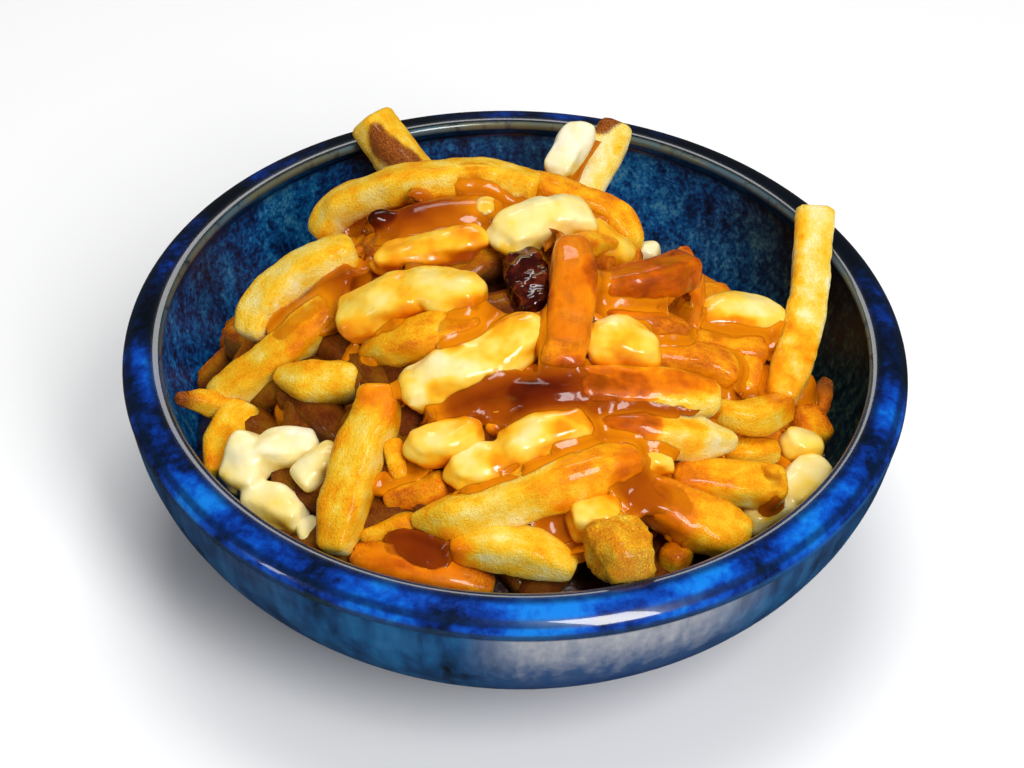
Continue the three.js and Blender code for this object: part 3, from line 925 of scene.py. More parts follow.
SMEARS = (
    Pour((574, 374, 81), (640, 372, 81), 7, 1.4),
    Pour((640, 372, 80), (704, 380, 74), 5, 1.0),
    Pour((586, 414, 73), (640, 418, 73), 7, 1.25),
    Pour((640, 414, 73), (690, 436, 68), 5, 0.6),
    Pour((568, 250, 91), (566, 310, 88), 9, 0.55),
    Pour((566, 486, 70), (646, 452, 71), 8, 0.55),
    Pour((634, 488, 65), (664, 514, 62), 9, 1.0),
    Pour((600, 288, 84), (692, 270, 80), 9, 1.1),
    Pour((300, 334, 70), (344, 300, 75), 6, 0.6),
    Pour((400, 204, 83), (530, 196, 84), 5, 0.5),
    Pour((366, 382, 77), (392, 398, 74), 6, 0.7),
    Pour((376, 548, 57), (444, 566, 56), 8, 0.9),
    Pour((668, 470, 64), (690, 480, 62), 6, 0.6),
    Pour((494, 352, 80), (540, 316, 82), 7, 1.1),
    Pour((797, 214, 72), (789, 330, 66), 3.6, 0.5),
    Pour((800, 340, 65), (780, 396, 61), 9, 0.66),
)


def poured(points: np.ndarray) -> np.ndarray:
    """How much gravy stands at some points, in millimetres' coordinates."""
    return np.max([pour.at(points) for pour in POURS], axis=0)


def smudged(points: np.ndarray) -> np.ndarray:
    """How much gravy was wiped over some points."""
    return np.max([smear.at(points, 1.2) for smear in SMEARS], axis=0)


def smeared(points: np.ndarray, facing: np.ndarray) -> np.ndarray:
    """How much gravy clings to chips at some points that face up by so much."""
    near = poured(points) * np.clip(0.45 + 0.75 * facing, 0, 1)
    around = 0.55 * np.max([pour.at(points, 1.9) for pour in POURS], axis=0) * np.clip(0.6 + 0.5 * facing, 0, 1)
    return np.max([near, around, smudged(points)], axis=0)


# Chips


@dataclass(frozen=True)
class Chip:
    """One chip: a bent bar through some places."""

    name: str
    width: float
    tone: float
    places: tuple
    crust: float = 0.0
    wet: float = 0.0
    start: float = 1.0
    end: float = 1.0
    square: float = 5.0
    rough: float = 1.0
    shade: float = 0.0


SHOWN = (
    Chip("arch", 10, 0.38, ((317, 238, 63), (337, 211, 69), (366, 196, 74), (400, 185, 78), (440, 180, 80), (480, 178, 80), (540, 190, 79)), start=0.75),
    Chip("arch_tail", 8, 0.5, ((528, 187, 78), (572, 199, 77), (610, 215, 74), (629, 235, 71), (632, 254, 67)), wet=0.35, end=0.6),
    Chip("upper_left", 10.5, 0.22, ((248, 338, 61), (262, 309, 65), (290, 281, 70), (322, 262, 74), (356, 250, 76)), start=0.75, end=0.8),
    Chip("left_long", 10, 0.36, ((210, 400, 50), (245, 382, 54), (280, 355, 60), (310, 327, 66), (338, 303, 70)), start=0.75, end=0.8),
    Chip("left_tip", 6.5, 0.5, ((176, 398, 57), (205, 402, 53), (240, 406, 49)), crust=0.25, start=0.45, rough=1.3),
    Chip("left_short", 10, 0.36, ((276, 375, 60), (312, 383, 62), (360, 384, 64.5)), start=0.5, end=0.9),
    Chip("left_standing", 11, 0.38, ((378, 384, 72), (376, 418, 67), (360, 452, 63), (346, 500, 57), (333, 553, 51)), start=0.8, end=0.7),
    # dark_left is dark from its gravy and from painted shade, for it lies in shadow in the heap.
    Chip("dark_left", 9.5, 0.95, ((325, 398, 51), (308, 442, 47)), wet=0.9, end=0.8),
    Chip("inner_left", 8, 0.66, ((272, 400, 49), (262, 434, 46)), wet=0.3, end=0.7),
    Chip("left_down", 9, 0.4, ((248, 408, 50), (224, 440, 49), (213, 474, 49)), end=0.6),
    Chip("over_curd", 10, 0.46, ((362, 353, 68), (400, 343, 74), (435, 335, 78), (482, 322, 80)), wet=0.3, start=0.55, end=0.7),
    Chip("centre_upright", 11, 0.6, ((572, 242, 86.5), (573, 288, 85), (567, 330, 81), (560, 374, 77)), wet=0.55, start=0.8, square=3.6),
    Chip("centre_stub", 6, 0.55, ((566, 250, 85), (590, 244, 82), (617, 243, 79)), wet=0.3, end=0.5),
    Chip("brown_right", 10, 0.85, ((600, 290, 80), (650, 280, 80), (692, 268, 77)), wet=0.75, start=0.8, rough=1.4),
    Chip("right_tip", 7.5, 0.72, ((683, 247, 73), (690, 290, 68), (688, 338, 64)), wet=0.45, start=0.5),
    Chip("under_brown", 8, 0.66, ((600, 318, 75), (645, 324, 73), (688, 334, 70)), wet=0.5, end=0.7),
    Chip("mid_right", 9.5, 0.6, ((644, 356, 69), (700, 363, 65), (733, 377, 61)), wet=0.5, start=0.7, square=3.6),
    Chip("right_stub", 6.5, 0.5, ((751, 358, 62), (744, 392, 58)), wet=0.2),
    Chip("tall_right", 9.5, 0.06, ((815, 212, 69), (812, 262, 65), (806, 312, 62), (795, 358, 59), (778, 402, 57)), end=0.85, square=8),
    Chip("right_elbow", 8.5, 0.4, ((716, 411, 63), (750, 418, 61), (786, 405, 58)), start=0.7, end=0.85),
    Chip("centre_long", 10.5, 0.24, ((572, 388, 75), (640, 391, 72), (690, 396, 70), (718, 401, 68)), end=0.75, square=4),
    Chip("centre_lower", 10.5, 0.14, ((594, 422, 69), (650, 433, 67), (700, 439, 64), (736, 441, 62)), start=0.7, end=0.45),
    Chip("big_lower", 10.5, 0.36, ((412, 520, 57), (460, 516, 60), (510, 502, 63), (560, 485, 66), (610, 468, 67), (640, 461, 67)), start=0.4, end=0.75),
    Chip("right_lower", 9.5, 0.44, ((672, 477, 60), (720, 482, 58), (785, 487, 55)), start=0.7, end=0.85),
    Chip("right_end", 8, 0.5, ((722, 456, 52), (750, 453, 54), (779, 450, 54)), end=0.7),
    Chip("lower_right", 12, 0.46, ((632, 492, 61), (665, 505, 60), (700, 522, 57), (748, 541, 53)), start=0.8, end=0.75, square=6),
    Chip("bottom", 10.5, 0.34, ((450, 548, 56), (500, 546, 57), (540, 556, 56), (575, 571, 54)), start=0.6, end=0.6),
    Chip("crisp_end", 12.5, 0.52, ((603, 530, 57), (618, 548, 61), (635, 566, 66)), crust=0.42, start=0.7, end=0.75, rough=4.0, square=3.6),
    Chip("bottom_right", 8, 0.55, ((663, 550, 50), (688, 562, 50)), crust=0.15),
    Chip("crisp_left", 7.5, 0.6, ((384, 500, 57), (448, 486, 61)), crust=0.15, wet=0.3, start=0.6, rough=1.8),
    Chip("lower_left", 8, 0.5, ((360, 537, 51), (440, 518, 55)), start=0.6, end=0.7),
    Chip("bottom_left", 9, 0.55, ((352, 556, 49), (400, 566, 50), (440, 575, 50), (494, 588, 49)), crust=0.1, start=0.7, end=0.6),
    Chip("small_left", 7, 0.5, ((392, 440, 65), (400, 480, 61)), start=0.7, end=0.6),
    Chip("crisp_centre", 9, 0.66, ((446, 412, 68), (490, 409, 69), (522, 406, 70)), crust=0.2, wet=0.4, start=0.7, rough=1.8),
    Chip("centre_nub", 6.5, 0.6, ((488, 420, 68), (508, 430, 67)), wet=0.3),
    # far_right's dark tone is partly painted shade, for it lies deep in shadow; its browned end is its own.
    Chip("far_right", 7.5, 0.8, ((828, 380, 48), (812, 410, 45), (786, 440, 38)), crust=0.3, wet=0.3, start=0.5, rough=1.5),
    Chip("deep_right", 9, 0.62, ((798, 408, 50), (818, 445, 46))),
    Chip("behind_right", 7.5, 0.6, ((686, 300, 62), (728, 300, 57)), wet=0.4),
    Chip("under_curd_right", 8, 0.6, ((690, 346, 64), (765, 353, 60)), wet=0.5),
    Chip("deep_bottom", 7, 0.66, ((515, 522, 53), (562, 512, 53))),
    Chip("prop_right", 9, 0.66, ((640, 380, 64), (700, 398, 58), (770, 440, 47)), wet=0.3),
    Chip("back_left", 11.5, 0.32, ((369, 117, 69), (388, 144, 64), (425, 192, 60), (462, 235, 52))),
    Chip("back_right", 9.5, 0.08, ((618, 124, 69), (605, 152, 65), (588, 184, 61), (566, 232, 53))),
)


@dataclass
class Chips:
    """Every chip of the heap, and the core under them, dark with gravy and with painted shade."""

    bowl: Bowl
    finish: FriedPotato = field(default_factory=FriedPotato)
    taper: float = 11.0
    ring_step: float = 0.95
    end_rounding: tuple = (2.0, 4.6)
    end_size: float = 0.3
    painted_shade_depths: tuple = (2.0, 6.0)
    depth_limits: tuple = (0.84, 0.98)
    roll_limit: float = 0.35
    shown_sides: int = 20
    fill_sides: int = 16
    fill_count: int = 44
    fill_layers: int = 2
    fill_reach: float = 70.0
    fill_lift: tuple = (-4.0, 0.5)
    fill_back: float = 12.0
    fill_width: float = 9.0
    fill_lengths: tuple = (26.0, 46.0)
    fill_swing: float = 1.0
    fill_seed: int = 100
    fill_sunk: float = 6.0
    fill_low: tuple = (16, 24, 29, 37, 38, 43, 58, 63, 71, 79, 84, 85)
    core_top: float = 78.0
    core_edge: float = 36.0
    core_tilt: float = 0.13
    core_radius: float = 80.0
    core_centre: tuple = (-2.0, 0.0)
    core_fullness: float = 1.1

    def core_height(self, x: float, y: float) -> float:
        """How high the core reaches at a place."""
        off = math.hypot(x - self.core_centre[0], y - self.core_centre[1]) / self.core_radius
        edge = self.core_edge - self.core_tilt * y
        return edge + (self.core_top - edge) * max(0.0, 1 - off * off) ** self.core_fullness

    def curve(self, places: Sequence[Vector]) -> np.ndarray:
        """A smooth line through some places.

        Args:
            places: Two places or more, in millimetres.

        Returns:
            Points along it, closely spaced.
        """
        knots = [np.array(p, float) for p in places]
        line = [2 * knots[0] - knots[1], *knots, 2 * knots[-1] - knots[-2]]
        spans = []
        for p0, p1, p2, p3 in zip(line, line[1:], line[2:], line[3:]):
            t0, t1, t2 = (max(np.linalg.norm(b - a), 1e-4) ** 0.5 for a, b in ((p0, p1), (p1, p2), (p2, p3)))
            m1 = ((p1 - p0) / t0 - (p2 - p0) / (t0 + t1) + (p2 - p1) / t1) * t1
            m2 = ((p2 - p1) / t1 - (p3 - p1) / (t1 + t2) + (p3 - p2) / t2) * t1
            t = np.linspace(0, 1, 24, endpoint=False)[:, None]
            spans.append(p1 + m1 * t + (3 * (p2 - p1) - 2 * m1 - m2) * t**2 + (2 * (p1 - p2) + m1 + m2) * t**3)
        return np.vstack([*spans, knots[-1]])

    def rings(self, length: float) -> np.ndarray:
        """Where a chip's rings lie along it, closer at the ends."""
        ends = np.array([0.0, 0.1, 0.35, 0.8, 1.5])
        count = max(2, round((length - 5) / self.ring_step) + 1)
        return np.concatenate([ends, np.linspace(2.4, length - 2.4, count), length - ends[::-1]])

    def bar(self, chip: Chip, places: Sequence[Vector], seed: int, sides: int) -> bpy.types.Mesh:
        """One chip as a mesh, in metres, with what its finish reads.

        Args:
            chip: Its sizes and tones.
            places: Where its middle runs, in millimetres.
            seed: What makes it differ from the others.
            sides: Sides of its section.

        Returns:
            The mesh.
        """
        line = self.curve(places)
        along = np.concatenate([[0], np.cumsum(np.linalg.norm(np.diff(line, axis=0), axis=1))])
        stops = self.rings(along[-1])
        form = bmesh.new()
        bmesh.ops.create_cone(form, cap_ends=True, segments=sides, radius1=1, radius2=1, depth=2)
        walls = [e for e in form.edges if abs(e.verts[0].co.z - e.verts[1].co.z) > 1]
        bmesh.ops.subdivide_edges(form, edges=walls, cuts=len(stops) - 2, use_grid_fill=True)
        mesh = mesh_from(chip.name, form)
        blank = points_of(mesh)
        ring = np.rint((blank[:, 2] + 1) / 2 * (len(stops) - 1)).astype(int)
        reach = stops[ring]
        middle = np.stack([np.interp(reach, along, line[:, i]) for i in range(3)], 1)
        step = 1.2
        ahead = np.stack([np.interp(reach + step, along, line[:, i]) for i in range(3)], 1)
        behind = np.stack([np.interp(reach - step, along, line[:, i]) for i in range(3)], 1)
        tangent = ahead - behind
        tangent /= np.linalg.norm(tangent, axis=1)[:, None]
        side = np.cross(tangent, (0, 0, 1))
        side /= np.linalg.norm(side, axis=1)[:, None]
        top = np.cross(side, tangent)
        roll = between((-self.roll_limit, self.roll_limit), seed + 0.25)
        twist = roll + 0.004 * (reach - along[-1] / 2) * (1 if chance(seed + 0.7) > 0.5 else -1)
        level, lean = np.cos(twist)[:, None], np.sin(twist)[:, None]
        side, top = side * level + top * lean, top * level - side * lean
        power = chip.square
        corner = (np.abs(blank[:, 0]) ** power + np.abs(blank[:, 1]) ** power) ** (-1 / power)
        size = 0.5 * corner
        for gap, shift, tip in ((reach, 0.1, chip.start), (along[-1] - reach, 0.6, chip.end)):
            near = np.clip(gap / between(self.end_rounding, seed + shift), 0, 1)
            size *= self.end_size + (1 - self.end_size) * (1 - (1 - near) ** 2.6) ** (1 / 2.6)
            size *= tip + (1 - tip) * smooth_step(gap, 0, self.taper)
        size *= 1 + 0.1 * ripple(np.stack([reach, 0 * reach, 0 * reach], 1), 13, seed)
        depth = chip.width * between(self.depth_limits, seed + 0.5)
        across = blank[:, 0] * size * chip.width
        over = blank[:, 1] * size * depth
        grain = np.stack([reach + 40 * seed, across, over], 1)
        lumps = chip.rough * (0.42 * ripple(grain, 5.5, seed) + 0.2 * ripple(grain, 2.1, seed + 3))
        if chip.rough > 1:
            lumps += (chip.rough - 1) * 0.5 * np.abs(ripple(grain, 2.6, seed + 6))
        push = 1 + lumps / (0.5 * chip.width)
        points = middle + side * (across * push)[:, None] + top * (over * push)[:, None]
        points = self.bowl.hold(points)
        set_points(mesh, points * MM)
        facing = normals_of(mesh)[:, 2]
        wet = smeared(points, facing) + chip.wet * np.clip(0.75 + 0.35 * facing, 0, 1)
        edge = smooth_step(corner, 1.1, 1.26) * 0.12
        rise = np.array([self.core_height(x, y) for x, y in points[:, :2]])
        # Painted shade: points below the core's surface are darkened the more the lower they lie, and filling chips at
        # the front get their painted shade as well.
        deep = smooth_step(rise + self.painted_shade_depths[0] - points[:, 2], 0, self.painted_shade_depths[1])
        deep = np.maximum(deep, chip.shade * smooth_step(-points[:, 1], -self.fill_back, self.fill_back))
        keep(mesh, "grain", grain)
        # Painted light and shade: faces turned down are darker amber and faces turned up paler; the rest of the tone is
        # each chip's own and random.
        keep(mesh, "tone", np.clip(chip.tone + edge + 0.14 * ripple(points, 14, 2.0) + 0.1 - 0.16 * facing, 0, 1))
        keep(mesh, "wet", np.clip(wet, 0, 1.3))
        keep(mesh, "crust", self.crust(chip, points, reach, along[-1]))
        keep(mesh, "deep", 0.9 * deep)
        return mesh

    def crust(self, chip: Chip, points: np.ndarray, reach: np.ndarray, length: float) -> np.ndarray:
        """How browned a chip is, with the scorched patches of the two at the back."""
        brown = np.full(len(points), chip.crust)
        brown += 0.18 * smooth_step(-np.minimum(reach, length - reach), -1.6, 0)
        if chip.name == "back_left":
            brown += 1.1 * Pour((378, 136, 70), (408, 160, 67), 5.5).at(points)
        if chip.name == "back_right":
            brown += 1.0 * Pour((622, 116, 71), (602, 124, 72), 3.6).at(points)
        if chip.name == "left_tip":
            brown += 0.7 * smooth_step(-reach, -7, 0)
        if chip.name == "far_right":
            brown += 0.8 * smooth_step(-reach, -8, 0)
        return np.clip(brown, 0, 1)

    def filling(self) -> list[tuple[Chip, list[Vector], int]]:
        """The chips that can't be seen one by one: a spiral over the core."""
        made = []
        for k in range(self.fill_count * self.fill_layers):
            share = (k % self.fill_count + 0.5) / self.fill_count
            reach = math.sqrt(share) * self.fill_reach
            turn = k * GOLDEN_ANGLE
            heading = turn + math.pi / 2 + between((-self.fill_swing, self.fill_swing), k)
            half = between(self.fill_lengths, k + 0.3) / 2
            places = []
            sunk = self.fill_sunk if k in self.fill_low else 0
            for along in (-half, 0, half):
                x = self.core_centre[0] + reach * math.cos(turn) + along * math.cos(heading)
                y = self.core_centre[1] + reach * math.sin(turn) + along * math.sin(heading)
                lift = self.fill_lift[1 if y > self.fill_back else 0] - sunk
                places.append(Vector((x, y, self.core_height(x, y) + lift)))
            tone = 0.55 + 0.4 * chance(k + 0.9)
            wet, tip = 0.5 * chance(k + 0.4), between((0.55, 1), k + 0.2)
            chip = Chip(f"fill_{k}", self.fill_width, tone, (), wet=wet, end=tip, shade=0.86)
            made.append((chip, places, self.fill_seed + k))
        return made

    def core(self) -> bpy.types.Object:
        """The mass under the chips, dark with gravy and with painted shade: a lumpy dome on the bowl's floor."""
        form = bmesh.new()
        bmesh.ops.create_uvsphere(form, u_segments=72, v_segments=36, radius=1)
        mesh = mesh_from("soaked_shaded_core", form)
        blank = points_of(mesh)
        reach = np.hypot(blank[:, 0], blank[:, 1]) * 84
        turn = np.arctan2(blank[:, 1], blank[:, 0])
        x = reach * np.cos(turn)
        y = reach * np.sin(turn)
        high = np.array([self.core_height(a, b) for a, b in zip(x, y)]) - 6.5
        low = np.full(len(high), 10.0)
        z = np.where(blank[:, 2] > 0, high, np.minimum(low, high))
        points = np.stack([x, y, z], 1)
        points[:, 2] += np.where(blank[:, 2] > 0, 1.6 * ripple(points, 7, 5.0), 0)
        points = self.bowl.hold(points)
        set_points(mesh, points * MM)
        mesh.materials.append(SoakedShadedPotato().material())
        return object_from("soaked_shaded_core", mesh)

    def build(self) -> list[bpy.types.Object]:
        """Makes the chips that show, those that fill and the core."""
        material = self.finish.material()
        shown = [self.bar(c, [VIEW.seen(p) for p in c.places], i, self.shown_sides) for i, c in enumerate(SHOWN)]
        fill = [self.bar(c, places, seed, self.fill_sides) for c, places, seed in self.filling()]
        pieces = [
            object_from("chips_on_top", joined("chips_on_top", shown)),
            object_from("chips_below", joined("chips_below", fill)),
            self.core(),
        ]
        for piece in pieces:
            if not piece.data.materials:
                piece.data.materials.append(material)
            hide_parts("chips")
            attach(piece, "root")
        return pieces


# Curds and thick gravy


@dataclass(frozen=True)
class Lump:
    """A soft lump of one lobe or more; each is a width, a thickness and its middle's two ends."""

    node: str
    lobes: tuple
    tone: float = 0.35
    wet: float = 0.0


CURDS = (
    Lump("curd_top", ((14, 10, (512, 236, 83), (540, 219, 84)), (13, 10, (540, 219, 84), (577, 220, 82))), 0.5),
    Lump("curd_under_tail", ((12, 9, (596, 240, 77), (618, 256, 73)),), 0.85, 0.45),
    Lump("curd_upper_left", ((10.5, 8, (384, 259, 77), (474, 243, 81)),), 0.85, 0.6),
    Lump("curd_big_left", ((16, 11, (360, 318, 74), (402, 300, 79)), (15, 11, (420, 296, 80), (466, 294, 83))), 0.78, 0.28),
    Lump("curd_block", ((15, 11, (425, 386, 72), (470, 368, 76)), (15, 10, (470, 368, 76), (522, 338, 79))), 0.48, 0.1),
    Lump("curd_square", ((14, 11, (607, 345, 78), (636, 347, 77)),), 0.82, 0.28),
    Lump("curd_mid_left", ((11, 9, (426, 449, 67), (467, 434, 69)),), 0.82, 0.3),
    Lump("curd_long", ((11, 8, (464, 471, 66), (510, 458, 68)), (12, 9, (515, 446, 70), (574, 425, 72))), 0.7, 0.3),
    Lump("curd_round", ((12, 11, (586, 519, 61), (602, 519, 61)),), 0.7, 0.25),
    Lump("curd_white_left", ((12, 11, (241, 475, 51), (250, 455, 53)), (11, 10, (268, 452, 54), (306, 450, 55)), (10, 9, (258, 500, 49), (293, 514, 49))), 0.36),
    Lump("curd_small_left", ((9, 8, (306, 478, 55), (333, 457, 57)),), 0.5),
    Lump("curd_low", ((8, 7, (308, 530, 47), (314, 538, 47)),), 0.35),
    Lump("curd_far_right", ((14, 11, (713, 320, 64), (768, 320, 61)),), 0.66, 0.2),
    Lump("curd_small_right", ((9, 8, (794, 445, 53), (808, 446, 52)),), 0.7, 0.2),
    Lump("curd_white_right", ((11, 9, (812, 474, 50), (795, 494, 49)), (9, 8, (790, 503, 48), (752, 519, 48))), 0.5),
    Lump("curd_back", ((10, 7, (579, 133, 73), (561, 166, 69)),), 0.14),
    Lump("curd_behind", ((6, 6, (638, 253, 66), (650, 254, 66)),), 0.2),
    Lump("curd_crumb", ((8, 6, (474, 212, 79), (488, 211, 80)),), 0.4, -0.5),
    Lump("curd_deep", ((7, 6, (650, 463, 65), (664, 463, 64)),), 0.5, 0.1),
)
CLOT = Lump("gravy_clot", ((11, 8, (524, 258, 80), (532, 304, 79)),))
POOLS = (
    Lump("dome", ((4.6, 4, (374, 219, 79), (385, 217, 79)),)),
    Lump("upper", ((10, 5, (400, 222, 78.5), (490, 206, 80.5)),)),
    Lump("centre", ((6.5, 5, (512, 392, 75.5), (572, 391, 76)),)),
    Lump("centre_left", ((5, 4, (440, 404, 71), (500, 393, 75)),)),
    Lump("front_left", ((7, 5, (402, 548, 53), (430, 557, 53)),)),
    Lump("right_front", ((5, 5, (656, 478, 63), (662, 500, 62)),)),
    Lump("drip", ((4.5, 4, (779, 470, 58), (772, 502, 55)),)),
    Lump("left", ((6, 4.5, (290, 320, 66), (350, 279, 75)),)),
    Lump("between", ((5.5, 4.5, (455, 334, 79), (496, 316, 80)),)),
    Lump("lower", ((8, 5, (622, 490, 63), (664, 504, 62)),)),
)


@dataclass
class Lumps:
    """Makes soft lumps: the curds, the clot and the standing gravy."""

    bowl: Bowl
    blockiness: float = 0.35
    overhang: float = 0.42
    size: float = 0.95
    lump: float = 0.09
    dent: float = 0.05
    cell: float = 0.55

    def lobe(self, lobe: tuple, seed: float, detail: int = 4) -> bpy.types.Mesh:
        """One lobe: a lumpy rounded block between two ends.

        Args:
            lobe: Its width, thickness and the two ends of its middle.
            seed: What makes it differ from the others.
            detail: How often the ball that it starts from is divided.

        Returns:
            The mesh, in metres.
        """
        width, thickness, start, finish = lobe
        first, last = VIEW.seen(start), VIEW.seen(finish)
        half = (last - first).length / 2 + width * self.overhang
        along = np.array((last - first).normalized())
        side = np.cross((0, 0, 1), along)
        side /= np.linalg.norm(side)
        top = np.cross(along, side)
        form = bmesh.new()
        bmesh.ops.create_icosphere(form, subdivisions=detail, radius=1)
        mesh = mesh_from("lobe", form)
        x, y, z = points_of(mesh).T
        block = 1 / np.max(np.abs([x, y, z]), axis=0) - 1
        wave = np.sin(3.1 * x + seed * 1.7) * np.cos(2.6 * y + seed * 0.9)
        size = (1 + self.blockiness * block) * (self.size + self.lump * wave + self.dent * np.sin(4.3 * z + 5 * x + seed))
        points = np.array((first + last) / 2)
        points = points + np.outer(x * size * half, along)
        points += np.outer(y * size * width / 2, side) + np.outer(z * size * thickness / 2, top)
        set_points(mesh, self.bowl.hold(points) * MM)
        return mesh

    def body(self, name: str, lump: Lump, seed: float, cell: float) -> bpy.types.Object:
        """A lump's lobes merged into one skin."""
        lobes = [self.lobe(lobe, seed + 10 * i) for i, lobe in enumerate(lump.lobes)]
        piece = object_from(name, joined(name, lobes))
        rounded(piece, cell, 5)
        return piece

    def curd(self, lump: Lump, seed: int, material: bpy.types.Material) -> bpy.types.Object:
        """One curd, in the place of its node."""
        piece = self.body(lump.node.replace("curd", "cheese"), lump, seed, self.cell)
        mesh = piece.data
        points = points_of(mesh) / MM
        facing = normals_of(mesh)
        swell = 0.5 * ripple(points, 5.5, seed) + 0.12 * ripple(points, 2.2, seed + 2)
        points = self.bowl.hold(points + facing * swell[:, None])
        set_points(mesh, points * MM)
        facing = normals_of(mesh)[:, 2]
        cloud = ripple(points, 8, seed + 5)
        # Painted light and shade: curds are paler where they face up and more amber where they face sideways or down;
        # the cloud is random tone.
        keep(mesh, "tone", np.clip(lump.tone + 0.25 * cloud - 0.22 * facing, 0, 1))
        wet = np.maximum(poured(points) * np.clip(0.3 + 0.5 * facing, 0, 1), 0.85 * smudged(points)) + lump.wet
        # Painted shade: faces turned sideways and down get more amber, though gravy lies on top.
        wet += 0.6 * smooth_step(-facing, -0.45, 0.5)
        keep(mesh, "wet", np.clip(wet, 0, 1.2))
        mesh.materials.append(material)
        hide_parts(lump.node)
        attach(piece, "root")
        return piece

    def clot(self) -> bpy.types.Object:
        """The wrinkled dark clot on top."""
        piece = self.body("gravy_thick", CLOT, len(CURDS), 0.4)
        mesh = piece.data
        points = points_of(mesh) / MM
        folds = 1.2 * ripple(points, 3.6, 31) + 0.4 * ripple(points, 1.8, 37)
        set_points(mesh, (points + normals_of(mesh) * folds[:, None]) * MM)
        mesh.materials.append(ThickGravy().material())
        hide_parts(CLOT.node)
        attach(piece, "root")
        return piece


# Gravy


@dataclass
class Sauce:
    """The thin gravy: a skin that fills the creases of the heap where it was poured."""

    lumps: Lumps
    finish: Gravy = field(default_factory=Gravy)
    cell: float = 0.6
    closing: float = 2.3
    film: float = 0.12
    level: float = -0.12
    sunk: float = -3.6
    full_depth: float = 11.0

    def skin(self, under: Sequence[bpy.types.Object]) -> BVHTree:
        """A search tree over the outside of what lies under the gravy."""
        piece = object_from("skin", joined("skin", [p.data.copy() for p in under]))
        rounded(piece, self.cell, 0)
        tree = self.tree([piece])
        bpy.data.meshes.remove(piece.data)
        return tree

    def blank(self, under: Sequence[bpy.types.Object]) -> bpy.types.Object:
        """Copies of what lies under the gravy, and of the pools, merged and closed over their creases."""
        copies = [piece.data.copy() for piece in under]
        copies += [self.lumps.lobe(p.lobes[0], 50 + i, 3) for i, p in enumerate(POOLS)]
        piece = object_from("gravy", joined("gravy", copies))
        rounded(piece, self.cell, 0)
        self.push(piece, self.closing)
        rounded(piece, self.cell, 0)
        self.push(piece, -self.closing)
        rounded(piece, self.cell, 4)
        return piece

    def push(self, piece: bpy.types.Object, distance: float | np.ndarray) -> None:
        """Moves a piece's skin along its normals, in millimetres."""
        points, facing = points_of(piece.data), normals_of(piece.data)
        offset = np.broadcast_to(distance, len(points))[:, None] * MM
        set_points(piece.data, points + facing * offset)

    def tree(self, pieces: Sequence[bpy.types.Object]) -> BVHTree:
        """A search tree over some pieces' faces."""
        points: list = []
        faces: list = []
        for piece in pieces:
            start = len(points)
            points += [v.co.copy() for v in piece.data.vertices]
            faces += [[start + i for i in p.vertices] for p in piece.data.polygons]
        return BVHTree.FromPolygons(points, faces)

    def distances(self, points: np.ndarray, tree: BVHTree) -> np.ndarray:
        """How far each point is over the nearest face, in metres; negative inside."""
        found = np.empty(len(points))
        for i, point in enumerate(points):
            at, facing, _, away = tree.find_nearest(Vector(point))
            found[i] = away if (Vector(point) - at).dot(facing) > 0 else -away
        return found

    def build(self, chips: Sequence[bpy.types.Object], curds: Sequence[bpy.types.Object]) -> bpy.types.Object:
        """Makes the gravy's skin and keeps how deep it stands.

        Args:
            chips: The chips and their core.
            curds: The curds.

        Returns:
            The piece.
        """
        piece = self.blank([*chips, *curds])
        points = points_of(piece.data) / MM
        amount = poured(points) + 0.22 * ripple(points, 6.5, 11) + 0.1 * ripple(points, 2.6, 13)
        facing = normals_of(piece.data)[:, 2]
        amount *= np.clip(0.7 + 0.6 * facing, 0, 1)
        lift = self.sunk + (self.level - self.sunk) * smooth_step(amount, 0.1, 0.62)
        lift += (self.film - self.level) * smooth_step(amount, 0.85, 1.15)
        self.push(piece, lift)
        set_points(piece.data, self.lumps.bowl.hold(points_of(piece.data) / MM) * MM)
        skin = self.skin([*chips, *curds])
        self.trim(piece, self.distances(points_of(piece.data), skin))
        points = points_of(piece.data)
        depth = self.distances(points, skin) / MM
        over_chips = self.distances(points, self.tree(chips))
        over_curds = self.distances(points, self.tree(curds))
        keep(piece.data, "depth", np.clip(depth / self.full_depth, 0, 1))
        keep(piece.data, "dark", np.max([stain.at(points / MM) for stain in STAINS], axis=0))
        keep(piece.data, "over_curd", smooth_step(over_chips - over_curds, -0.0006, 0.0006))
        piece.data.materials.append(self.finish.material())
        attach(piece, "root")
        return piece

    def trim(self, piece: bpy.types.Object, above: np.ndarray) -> None:
        """Drops the faces of the skin that lie hidden under the food."""
        form = bmesh.new()
        form.from_mesh(piece.data)
        form.verts.ensure_lookup_table()
        hidden = [f for f in form.faces if all(above[v.index] < -0.0005 for v in f.verts)]
        bmesh.ops.delete(form, geom=hidden, context="FACES")
        old = piece.data
        piece.data = mesh_from("gravy", form)
        bpy.data.meshes.remove(old)


# The room


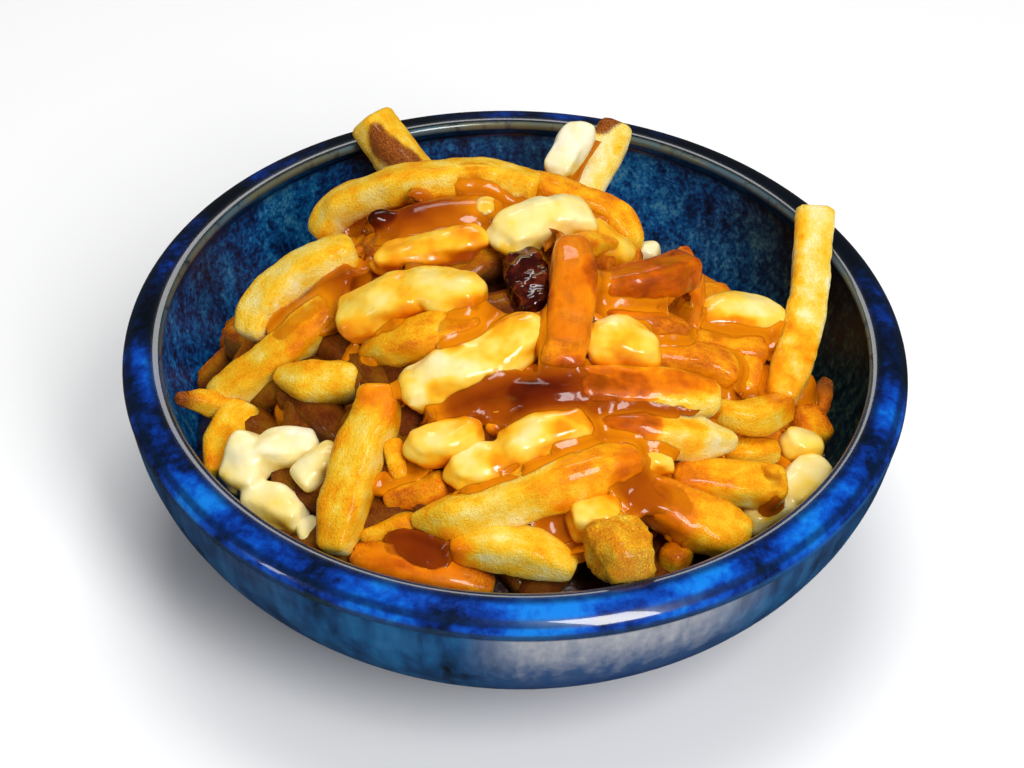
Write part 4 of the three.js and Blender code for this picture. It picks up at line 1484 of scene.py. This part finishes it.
@dataclass
class Studio:
    """A plain white floor and soft light from above."""

    floor_size: float = 6.0
    room_light: float = 0.24
    mirror_light: float = 0.03

    def floor(self) -> bpy.types.Object:
        """A plain pale floor."""
        form = bmesh.new()
        bmesh.ops.create_grid(form, x_segments=1, y_segments=1, size=self.floor_size)
        piece = object_from("floor", mesh_from("floor", form))
        paint = Paint("pale_floor")
        piece.data.materials.append(paint.dressed(Base_Color=(0.93, 0.93, 0.93, 1.0), Roughness=0.9))
        piece.visible_glossy = False
        return piece

    def lamp(
        self, name: str, place: Place, aim: Place, size: tuple[float, float], power: float, mirrored: bool = True
    ) -> None:
        """One soft light.

        Args:
            name: Its name.
            place: Where it is, in metres.
            aim: What it points at.
            size: Its width and height.
            power: Its power in watts.
            mirrored: Whether it shows in glossy surfaces.
        """
        data = bpy.data.lights.new(name, "AREA")
        data.shape = "RECTANGLE"
        data.size, data.size_y = size
        data.energy = power
        lamp = bpy.data.objects.new(name, data)
        lamp.visible_glossy = mirrored
        turn = (Vector(aim) - Vector(place)).to_track_quat("-Z", "Y")
        lamp.matrix_world = Matrix.Translation(place) @ turn.to_matrix().to_4x4()
        bpy.context.scene.collection.objects.link(lamp)

    def build(self) -> None:
        """Sets the floor, the lights and the surrounding white."""
        self.floor()
        self.lamp("softbox_front", (0.37, -0.64, 0.8), (0, 0, 0.06), (0.28, 0.72), 8.8)
        self.lamp("softbox_top", (0.0, 0.15, 1.1), (0, 0, 0.06), (0.5, 0.5), 5.4, mirrored=False)
        self.lamp("strip_left", (-0.86, -0.50, 0.42), (0, 0, 0.06), (0.1, 0.25), 0.5)
        self.lamp("strip_back", (-0.05, 0.8, 0.75), (0, 0, 0.06), (0.4, 0.16), 0.9)
        world = bpy.data.worlds.new("white_room")
        world.use_nodes = True
        nodes, links = world.node_tree.nodes, world.node_tree.links
        rays = nodes.new("ShaderNodeLightPath")
        mirror = nodes.new("ShaderNodeMapRange")
        mirror.inputs["To Min"].default_value = self.room_light
        mirror.inputs["To Max"].default_value = self.mirror_light
        share = nodes.new("ShaderNodeMapRange")
        links.new(rays.outputs["Is Glossy Ray"], mirror.inputs["Value"])
        links.new(mirror.outputs["Result"], share.inputs["To Min"])
        links.new(rays.outputs["Is Camera Ray"], share.inputs["Value"])
        links.new(share.outputs["Result"], nodes["Background"].inputs["Strength"])
        nodes["Background"].inputs["Color"].default_value = (1, 1, 1, 1)
        bpy.context.scene.world = world
        bpy.context.scene.view_settings.view_transform = "Standard"


def main() -> None:
    """Builds the dish and its room."""
    logging.basicConfig(level=logging.INFO, format="%(message)s")
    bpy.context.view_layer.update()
    VIEW.camera()
    Studio().build()
    bowl = Bowl()
    pieces = [bowl.build()]
    chips = Chips(bowl).build()
    lumps = Lumps(bowl)
    cheese = CheeseCurd().material()
    curds = [lumps.curd(lump, i, cheese) for i, lump in enumerate(CURDS)]
    clot = lumps.clot()
    gravy = Sauce(lumps).build(chips, curds)
    pieces += [*chips, *curds, clot, gravy]
    for piece in pieces:
        faces = sum(len(p.vertices) - 2 for p in piece.data.polygons)
        LOG.info("%s: %d triangles, %.2f mm high", piece.name, faces, points_of(piece.data)[:, 2].max() / MM)


if __name__ == "__main__":
    main()
